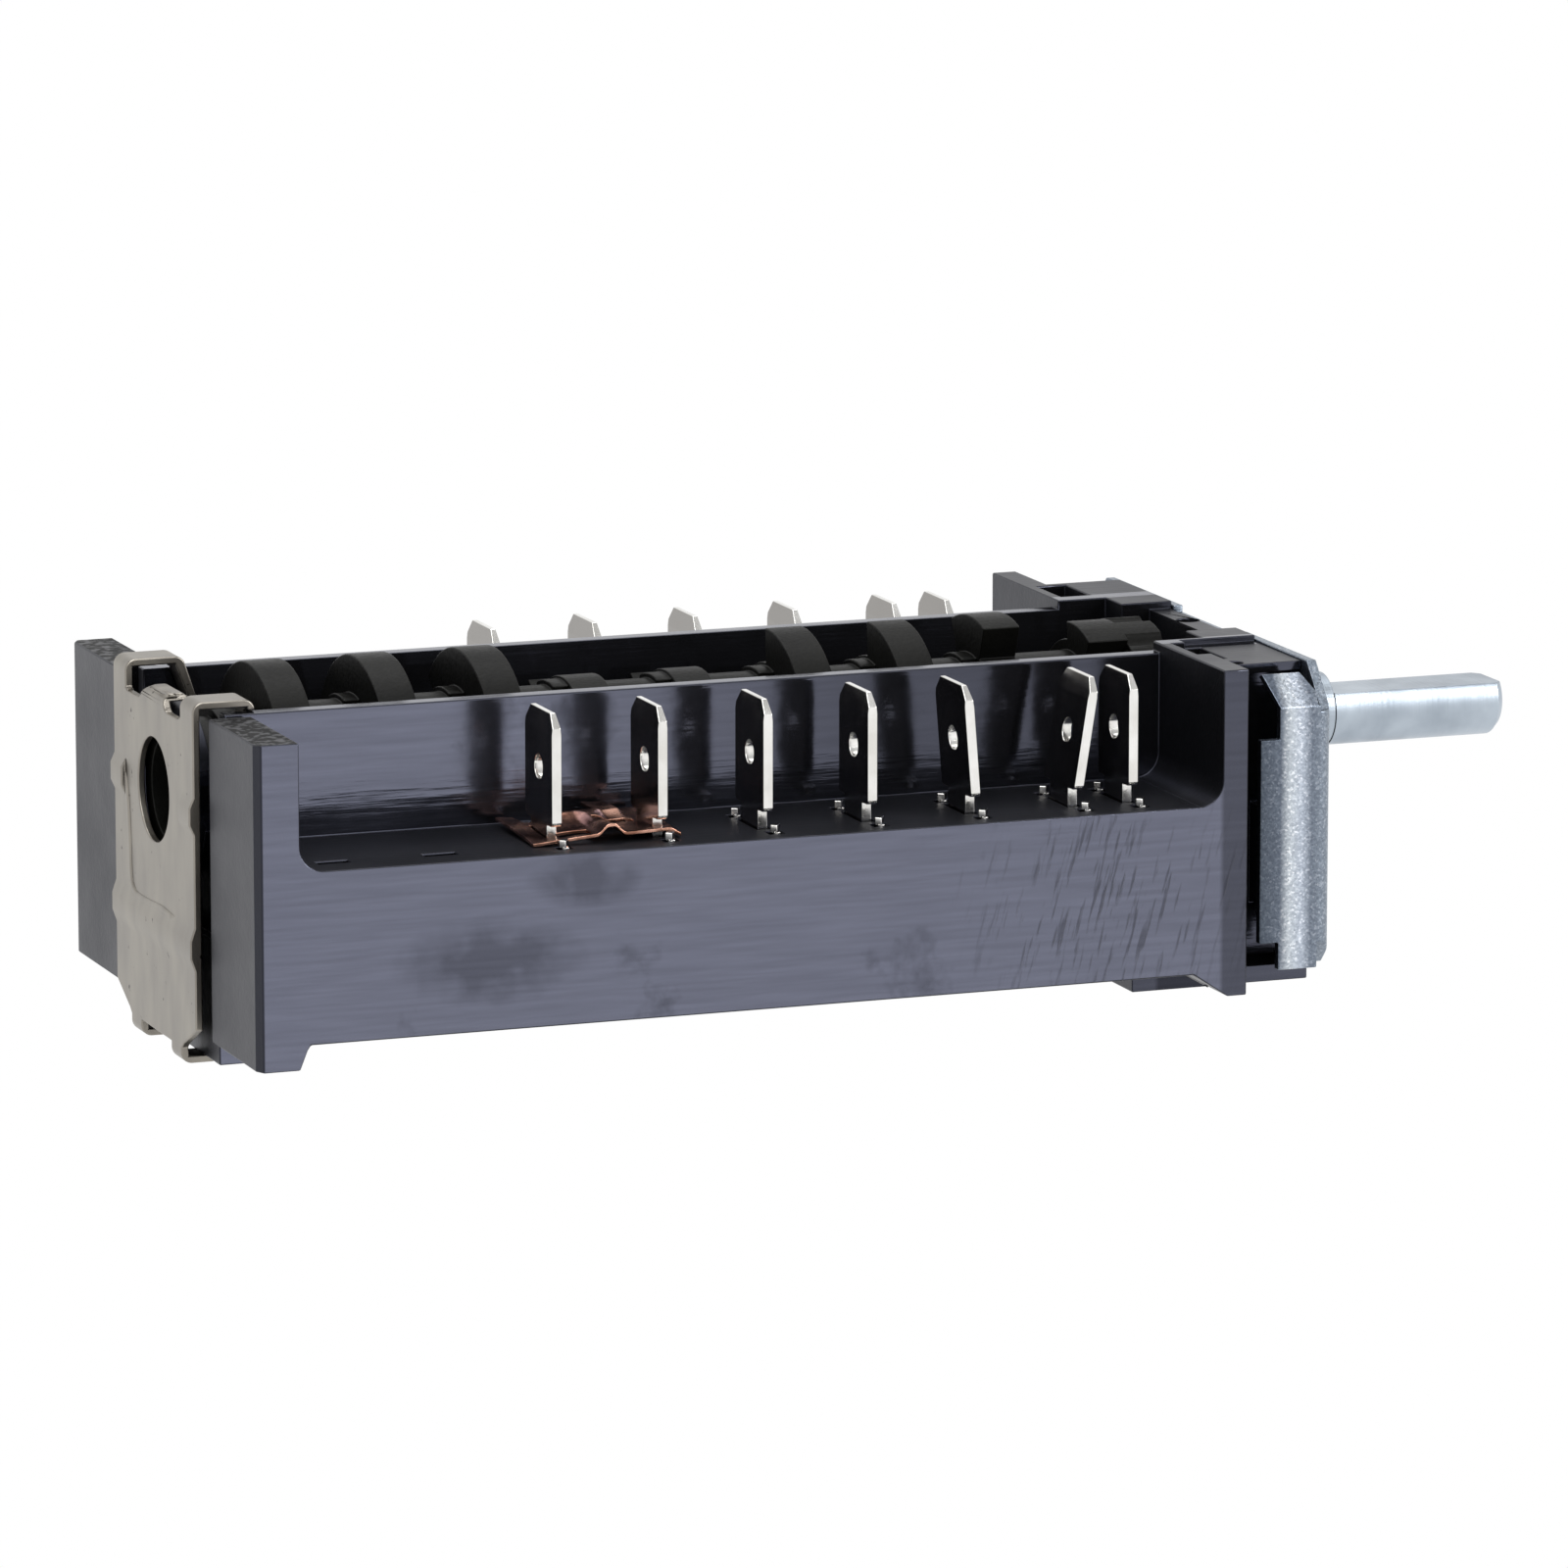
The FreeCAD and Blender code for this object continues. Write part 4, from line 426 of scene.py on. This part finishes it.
# %% Nickel plated blades
def nickel_blades_with_painted_shade():
    """The nickel strip, mixed with a darker grey as painted shade where a face looks along the shaft."""
    material = metal_strip("nickel_plated_strip")
    shader = material.node_tree.nodes["Principled BSDF"]
    tint = shader.inputs["Base Color"].links[0].from_node
    # The darker grey on the faces that look along the shaft is painted shade.
    face = add(material, "MapRange", [facing(material, "X"), 0.6, 0.95])
    dull = add(material, "Mix", {SHARE: (face, "Result"), FIRST_COLOUR: (tint, "Color"),
                                 SECOND_COLOUR: linear("#8f8c88")}, data_type="RGBA")
    feed(material, shader, "Base Color", dull, MIXED_COLOUR)
    return material


# %% [markdown]
# The base cover is hard insulating sheet, cut from a board: matt, dark, and slightly fibrous. The
# photo does not show it, so its look is guessed.

# %% Insulating sheet
def insulating_board():
    """Dark board with fibres drawn out along the switch."""
    material, shader, place = start_material("insulating_board", IOR=1.5, Metallic=0.0)
    fibre = stretched_noise(material, place, (300, 2400, 2400), detail=4.0)
    tint = add(material, "ValToRGB", [(fibre, "Fac")], [(0.3, "#1d1c1b"), (0.7, "#2f2d2a")])
    feed(material, shader, "Base Color", tint, "Color")
    rough = add(material, "MapRange", [(fibre, "Fac"), 0.0, 1.0, 0.45, 0.65])
    feed(material, shader, "Roughness", rough, "Result")
    relief = add(material, "Bump", {"Height": (fibre, "Fac"), "Strength": 0.3, "Distance": 0.06 * MM})
    feed(material, shader, "Normal", relief, "Normal")
    return material


# %% One material for each of the record's slots
FINISHES = {
    "housing": pressed_phenolic(), "camshaft": sparked_moulding(), "shaft_steel": plated_turning(),
    "galvanised": galvanised_sheet(), "plate_steel": satin_plate(), "cover_sheet": insulating_board(),
    "blade_metal": nickel_blades_with_painted_shade(), "leaf_bronze": metal_strip("rolled_spring_bronze"),
    "bar_brass": metal_strip("rolled_brass_bar"), "contact_silver": metal_strip("pressed_silver"),
    "link_copper": metal_strip("bare_copper_strip"), "ball_steel": metal_strip("polished_ball"),
    "spring_steel": metal_strip("drawn_spring_wire"),
}
for node, piece in NODES.items():
    piece.data.materials.clear()
    piece.data.materials.append(FINISHES[SLOTS[node]])
print(len(FINISHES), "finishes on", len(NODES), "nodes")

# %% [markdown]
# ## Softer edges
# Nothing moulded or stamped has a truly sharp edge: a rounded one catches a thin line of light. A
# copy of a CAD node is welded from its loose triangles, its flat faces are put back together, and a
# Bevel modifier rounds every edge sharper than thirty degrees. A Weighted Normal modifier then keeps
# the large faces flat in mirrors, because the small faces round them no longer bend their shading.
# The bracket is welded more coarsely, because slivers at its bends made the Bevel throw out corners.

# %% Welded copies with rounded edges
WELD_MM = {"front_bracket": 0.12}
FINE_WELD_MM = 0.002
FLAT_WITHIN = math.radians(0.5)
SHADED_SHARP = math.radians(35)
BEVELLED_FROM = math.radians(30)


def welded_copy(node):
    """A new mesh with the node's surface: close corners joined, and flat neighbours made one face."""
    mesh = bpy.data.meshes.new("soft_" + node)
    work = bmesh.new()
    work.from_mesh(NODES[node].data)
    bmesh.ops.remove_doubles(work, verts=work.verts, dist=WELD_MM.get(node, FINE_WELD_MM) * MM)
    bmesh.ops.dissolve_limit(work, angle_limit=FLAT_WITHIN, verts=work.verts, edges=work.edges)
    work.to_mesh(mesh)
    work.free()
    return mesh


def dress(name, mesh, node):
    """Puts a mesh in the scene with a CAD node's finish, slot and body."""
    piece = bpy.data.objects.new(name, mesh)
    bpy.context.scene.collection.objects.link(piece)
    mesh.materials.clear()
    mesh.materials.append(FINISHES[SLOTS[node]])
    mesh.polygons.foreach_set("use_smooth", np.ones(len(mesh.polygons), bool))
    mesh.set_sharp_from_angle(angle=SHADED_SHARP)
    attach(piece, BODIES[node])
    return piece


def show(name, mesh, node):
    """Dresses a mesh and lets it stand for the node, which is hidden."""
    piece = dress(name, mesh, node)
    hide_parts(node)
    return piece


def round_edges(piece, width_mm):
    """Bevels every edge sharper than thirty degrees by this width, in two steps."""
    bevel = piece.modifiers.new("rounded_edges", "BEVEL")
    bevel.width = width_mm * MM
    bevel.segments = 2
    bevel.limit_method = "ANGLE"
    bevel.angle_limit = BEVELLED_FROM
    bevel.harden_normals = True
    bevel.use_clamp_overlap = False
    flat = piece.modifiers.new("flat_faces", "WEIGHTED_NORMAL")
    flat.weight = 100
    flat.keep_sharp = True
    return piece


EDGE_MM = {"housing": 0.12, "camshaft": 0.1, "control_shaft": 0.08, "front_bracket": 0.1, "base_cover": 0.08,
           "rear_plate": 0.13}
for node, width in EDGE_MM.items():
    round_edges(show("soft_" + node, welded_copy(node), node), width)
print("softened", sorted(EDGE_MM))

# %% [markdown]
# ## Blade terminals
# Stamped blades have slightly rolled edges, which shine as bright lines in the photo. Two of the near
# blades lean in the photo, so their copies lean: every point above a level just over the floor moves
# along the shaft by its height above that level times the tangent of the lean.

# %% Blades with rounded edges and their leans
LEANS_FROM = -0.8 * MM
LEANS = {"terminal_near_7": -4.5, "terminal_near_8": 9.0}
BLADE_EDGE_MM = 0.07


def leaned(mesh, degrees):
    """Shear: x grows by tan(degrees) times the height above LEANS_FROM, and nothing below it moves."""
    points = np.empty(len(mesh.vertices) * 3, np.float32)
    mesh.vertices.foreach_get("co", points)
    points = points.reshape(-1, 3)
    rise = np.clip(points[:, 2] - LEANS_FROM, 0, None)
    points[:, 0] += rise * math.tan(math.radians(degrees))
    mesh.vertices.foreach_set("co", points.ravel())
    return mesh


blades = sorted(node for node in NODES if node.startswith("terminal_"))
for node in blades:
    mesh = leaned(welded_copy(node), LEANS.get(node, 0.0))
    round_edges(show("soft_" + node, mesh, node), BLADE_EDGE_MM)
print(len(blades), "blades,", len(LEANS), "of them leaning")

# %% [markdown]
# ## Copper jumper
# The jumper between the first two near blades is a bent strip: a hump across it, flaps that curl up
# behind a window, and both ends bent down to the floor. It is a grid of points whose height is the
# hump's outline plus the curl, and the cells in the windows and round the blades are left out.

# %% A sheet from a grid of points
def thick_sheet(name, spots, kept, thick):
    """Closed sheet under a grid of points: a kept cell has a top and a bottom face, and a wall on each
    side where the next cell is left out."""
    low = spots - np.array([0.0, 0.0, thick])
    count = spots.shape[0] * spots.shape[1]
    index = np.arange(count).reshape(spots.shape[:2])
    corners = (index[:-1, :-1], index[:-1, 1:], index[1:, 1:], index[1:, :-1])
    around = np.pad(kept, 1)
    beyond = (around[:-2, 1:-1], around[1:-1, 2:], around[2:, 1:-1], around[1:-1, :-2])
    top = np.stack(corners, -1)[kept]
    faces = [top, top[:, ::-1] + count]
    for side in range(4):
        bare = kept & ~beyond[side]
        first, second = corners[side][bare], corners[(side + 1) % 4][bare]
        faces.append(np.stack([first, first + count, second + count, second], -1))
    faces = np.concatenate(faces)
    used, faces = np.unique(faces, return_inverse=True)
    points = np.concatenate([spots.reshape(-1, 3), low.reshape(-1, 3)])[used] * MM
    mesh = bpy.data.meshes.new(name)
    mesh.from_pydata(points.tolist(), [], faces.reshape(-1, 4).tolist())
    return mesh


def within(x, y, low, high):
    """The places inside a rectangle, given by its corners in millimetres."""
    return (x > low[0]) & (x < high[0]) & (y > low[1]) & (y < high[1])


# %% Outline and windows of the jumper
# All in millimetres: the hump's outline as (x, z), and each window as its two corners in (x, y).
HUMP_LINE = [(-65.3, -2.0), (-64.6, -1.95), (-59.95, -1.55), (-59.3, -0.86), (-58.6, -0.82), (-57.85, -1.58),
             (-54.1, -1.46), (-53.3, -1.96)]
WINDOWS = [
    ((-62.9, -20.7), (-60.3, -19.3)), ((-59.1, -17.7), (-55.8, -17.1)), ((-63.9, -15.3), (-58.3, -12.0)),
    ((-53.9, -15.3), (-53.0, -12.0)), ((-63.85, -20.2), (-62.95, -16.4)), ((-55.25, -20.2), (-54.35, -16.4)),
]
JUMPER_X, JUMPER_Y, JUMPER_GRID = (-65.3, -53.3), (-21.4, -12.35), (121, 91)
JUMPER_TOP, JUMPER_THICK, JUMPER_EDGE_MM = -0.82, 0.26, 0.05
ROUNDING = 0.15
CURL_FROM, CURL_LENGTH, CURL_RISE = -18.9, 3.4, 0.7
CURL_SIDES, CURL_FADE = (-62.6, -55.6), 0.8
FLAT_LEVEL, FLAT_RIPPLE, FLAT_LENGTH = -1.6, 0.05, 5.0


# %% The bent copper jumper
def copper_jumper():
    """Height is the outline of HUMP_LINE, smoothed over 0.3 mm and levelled inwards, plus a curl of
    CURL_RISE times the square of the way inwards from CURL_FROM, between the blades only."""
    x, y = np.meshgrid(np.linspace(*JUMPER_X, JUMPER_GRID[0]), np.linspace(*JUMPER_Y, JUMPER_GRID[1]))
    line = sum(np.interp(x + shift, *np.transpose(HUMP_LINE)) for shift in (-ROUNDING, 0.0, ROUNDING)) / 3
    inwards = np.clip((y - CURL_FROM) / CURL_LENGTH, 0, 1)
    between = (np.clip((x - CURL_SIDES[0]) / CURL_FADE, 0, 1)
               * np.clip((CURL_SIDES[1] - x) / CURL_FADE, 0, 1))
    curl = CURL_RISE * inwards ** 2 * between
    fade = np.clip((y - JUMPER_Y[0]) / FLAT_LENGTH, 0, 1)
    flat = FLAT_LEVEL + FLAT_RIPPLE * np.sin(x * 1.7 + y)
    levelled = line * (1 - fade) + np.maximum(flat, line) * fade * 0.5 + flat * fade * 0.5
    height = np.minimum(levelled + curl, JUMPER_TOP)
    middle_x, middle_y = (x[:-1, :-1] + x[1:, 1:]) / 2, (y[:-1, :-1] + y[1:, 1:]) / 2
    kept = np.ones(middle_x.shape, bool)
    for low, high in WINDOWS:
        kept &= ~within(middle_x, middle_y, low, high)
    sheet = thick_sheet("copper_jumper", np.stack([x, y, height], -1), kept, JUMPER_THICK)
    return round_edges(show("copper_jumper", sheet, "copper_link"), JUMPER_EDGE_MM)


jumper = copper_jumper()
print(len(jumper.data.polygons), "faces in the jumper")

# %% [markdown]
# ## Pressed crease of the rear plate
# The photo shows a low ridge that runs down the plate from the shaft's level to its foot and along
# it. It is a low arched strip along a line read from the photo.

# %% Line and outline of the crease
# All in millimetres: the line as (y, z) on the plate's rear face, and the strip's outline.
CREASE = [(9.4, 1.0), (8.6, 0.5), (7.5, -0.2), (7.0, -1.2), (6.75, -2.6), (6.5, -5.0), (6.35, -7.4),
          (6.1, -8.6), (5.0, -9.3), (2.0, -9.3), (-2.2, -9.1), (-5.6, -9.35)]
PLATE_FACE, CREASE_HALF, CREASE_RISE, CREASE_SUNK = -89.0, 0.34, 0.13, 0.05
STEPS, ROUND, SMOOTHED = 160, 16, 9
END_TAPER, END_SHARE = 1.5, 0.15


def smooth_path(line):
    """STEPS points evenly along the line, then each the mean of SMOOTHED neighbours, and their places."""
    track = np.array(line)
    lengths = np.concatenate([[0], np.cumsum(np.hypot(*np.diff(track, axis=0).T))])
    places = np.linspace(0, lengths[-1], STEPS)
    path = np.stack([np.interp(places, lengths, track[:, i]) for i in (0, 1)], -1)
    padded = np.pad(path, ((SMOOTHED // 2, SMOOTHED // 2), (0, 0)), "edge")
    kernel = np.ones(SMOOTHED) / SMOOTHED
    return places, np.stack([np.convolve(padded[:, i], kernel, "valid") for i in (0, 1)], -1)


# %% Pressed crease on the plate's rear face
def arched_strip(name, line):
    """Closed strip on a face that looks to -X: its outline at each point is half an ellipse, sunk a
    little into the face and lower towards both ends, which are flat."""
    places, path = smooth_path(line)
    along = np.gradient(path, axis=0)
    along /= np.linalg.norm(along, axis=1, keepdims=True)
    across = np.stack([-along[:, 1], along[:, 0]], -1)
    turn = np.linspace(0, 2 * np.pi, ROUND + 1)[:-1]
    taper = np.minimum(1, np.minimum(places, places[-1] - places) / END_TAPER + END_SHARE)
    wide = np.cos(turn) * CREASE_HALF
    high = np.where(np.sin(turn) > 0, CREASE_RISE, CREASE_SUNK) * np.sin(turn)
    ring_x = np.broadcast_to(PLATE_FACE - high * taper[:, None], (STEPS, ROUND))
    ring = path[:, None, :] + across[:, None, :] * wide[None, :, None]
    points = np.concatenate([ring_x[..., None], ring], -1).reshape(-1, 3)
    grid = np.arange(STEPS * ROUND).reshape(STEPS, ROUND)
    ahead = np.roll(grid, -1, axis=1)
    walls = np.stack([grid[:-1], ahead[:-1], ahead[1:], grid[1:]], -1).reshape(-1, 4)
    ends = [grid[0][::-1].tolist(), grid[-1].tolist()]
    mesh = bpy.data.meshes.new(name)
    mesh.from_pydata((points * MM).tolist(), [], walls.tolist() + ends)
    work = bmesh.new()
    work.from_mesh(mesh)
    bmesh.ops.recalc_face_normals(work, faces=work.faces)
    work.to_mesh(mesh)
    work.free()
    return mesh


crease = dress("plate_crease", arched_strip("plate_crease", CREASE), "rear_plate")
print(len(crease.data.polygons), "faces in the crease")

# %% [markdown]
# ## Floor, light and camera
# The photo has a plain white ground. The floor is white to the camera and in mirrors, through Light
# Path, but takes ordinary light otherwise, so that the part stands on something. Both floor and world
# are much dimmer from a mirror image's second bounce on, so that deep corners stay dark. The lamps
# are wide and soft.

# %% White ground
GROUND_HALF = 2.0
SECOND_BOUNCE = 0.12


def white_ground():
    """A large square under the feet; it shines white to camera, glossy and transmission rays only."""
    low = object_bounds()[0].z
    mesh = bpy.data.meshes.new("ground")
    corners = [(side_x * GROUND_HALF, side_y * GROUND_HALF, low)
               for side_x, side_y in ((-1, -1), (1, -1), (1, 1), (-1, 1))]
    mesh.from_pydata(corners, [], [(0, 1, 2, 3)])
    ground = bpy.data.objects.new("ground", mesh)
    bpy.context.scene.collection.objects.link(ground)
    material, shader, _ = start_material("pale_ground", Roughness=0.9)
    shader.inputs["Base Color"].default_value = linear("#e6e6e6")
    path = add(material, "LightPath")
    seen = add(material, "Math", [(path, "Is Camera Ray"), (path, "Is Glossy Ray")], operation="MAXIMUM")
    shining = add(material, "Math", [(seen, "Value"), (path, "Is Transmission Ray")], operation="MAXIMUM")
    white = add(material, "MapRange", [(path, "Glossy Depth"), 1.0, 2.0, 1.0, SECOND_BOUNCE])
    glow = add(material, "Emission", {"Color": linear("#ffffff"), "Strength": (white, "Result")})
    mix = add(material, "MixShader", [(shining, "Value"), (shader, "BSDF"), (glow, "Emission")])
    output = material.node_tree.nodes["Material Output"]
    feed(material, output, "Surface", mix, "Shader")
    mesh.materials.append(material)


white_ground()
print("ground", 2 * GROUND_HALF, "m wide")


# %% White world
def white_world():
    """Plain white for the camera; mirrors see it white at the horizon and dimmer overhead."""
    world = bpy.data.worlds.new("soft_box")
    bpy.context.scene.world = world
    world.use_nodes = True
    back = world.node_tree.nodes["Background"]
    back.inputs["Color"].default_value = linear("#ffffff")
    path = add(world, "LightPath")
    way = add(world, "TexCoord")
    height = add(world, "SeparateXYZ", [(way, "Generated")])
    overhead = add(world, "MapRange", [(height, "Z"), 0.1, 0.8, 1.0, 0.55])
    first = add(world, "MapRange", [(path, "Glossy Depth"), 1.0, 2.0, 1.0, SECOND_BOUNCE])
    mirrored = product(world, (overhead, "Result"), (first, "Result"))
    glossy = add(world, "Mix", {0: (path, "Is Glossy Ray"), 2: 0.5, 3: mirrored}, data_type="FLOAT")
    strength = add(world, "Mix", {0: (path, "Is Camera Ray"), 2: (glossy, 0), 3: 1.0}, data_type="FLOAT")
    feed(world, back, "Strength", strength, 0)
    return world


print("world", white_world().name)

# %% Soft lamps
LAMPS = [
    ("key", (-0.25, -0.55, 0.75), 0.7, 6.0),
    ("fill", (0.55, -0.5, 0.3), 0.4, 4.5),
    ("top", (-0.05, 0.25, 0.9), 0.8, 5.0),
]
LIT_SPOT = (-0.03, 0.0, 0.0)


def aim(name, data, spot, target):
    """New lamp or camera at a spot, turned until its -Z axis points at the target."""
    holder = bpy.data.objects.new(name, data)
    bpy.context.scene.collection.objects.link(holder)
    holder.location = spot
    way = Vector(np.subtract(target, spot))
    holder.rotation_euler = way.to_track_quat("-Z", "Y").to_euler()
    return holder


for name, spot, width, watts in LAMPS:
    lamp = bpy.data.lights.new(name, "AREA")
    lamp.energy = watts
    lamp.size = width
    aim(name, lamp, spot, LIT_SPOT)
print(len(LAMPS), "lamps")

# %% [markdown]
# The camera was found from the photo's straight edges: a long lens, twenty degrees round towards the
# rear end and eleven above the table.

# %% Camera
CAMERA_AT = np.array([-299.7, -700.1, 140.95]) * MM
LOOKS_AT = np.array([-36.86, 0.0, -3.11]) * MM
LENS_MM = 220.4
SENSOR_MM = 36.0
eye = bpy.data.cameras.new("eye")
eye.lens = LENS_MM
eye.sensor_width = SENSOR_MM
bpy.context.scene.camera = aim("eye", eye, CAMERA_AT, LOOKS_AT)
bpy.context.scene.view_settings.view_transform = "Standard"
print("camera", np.round(np.linalg.norm(LOOKS_AT - CAMERA_AT), 3), "m away")
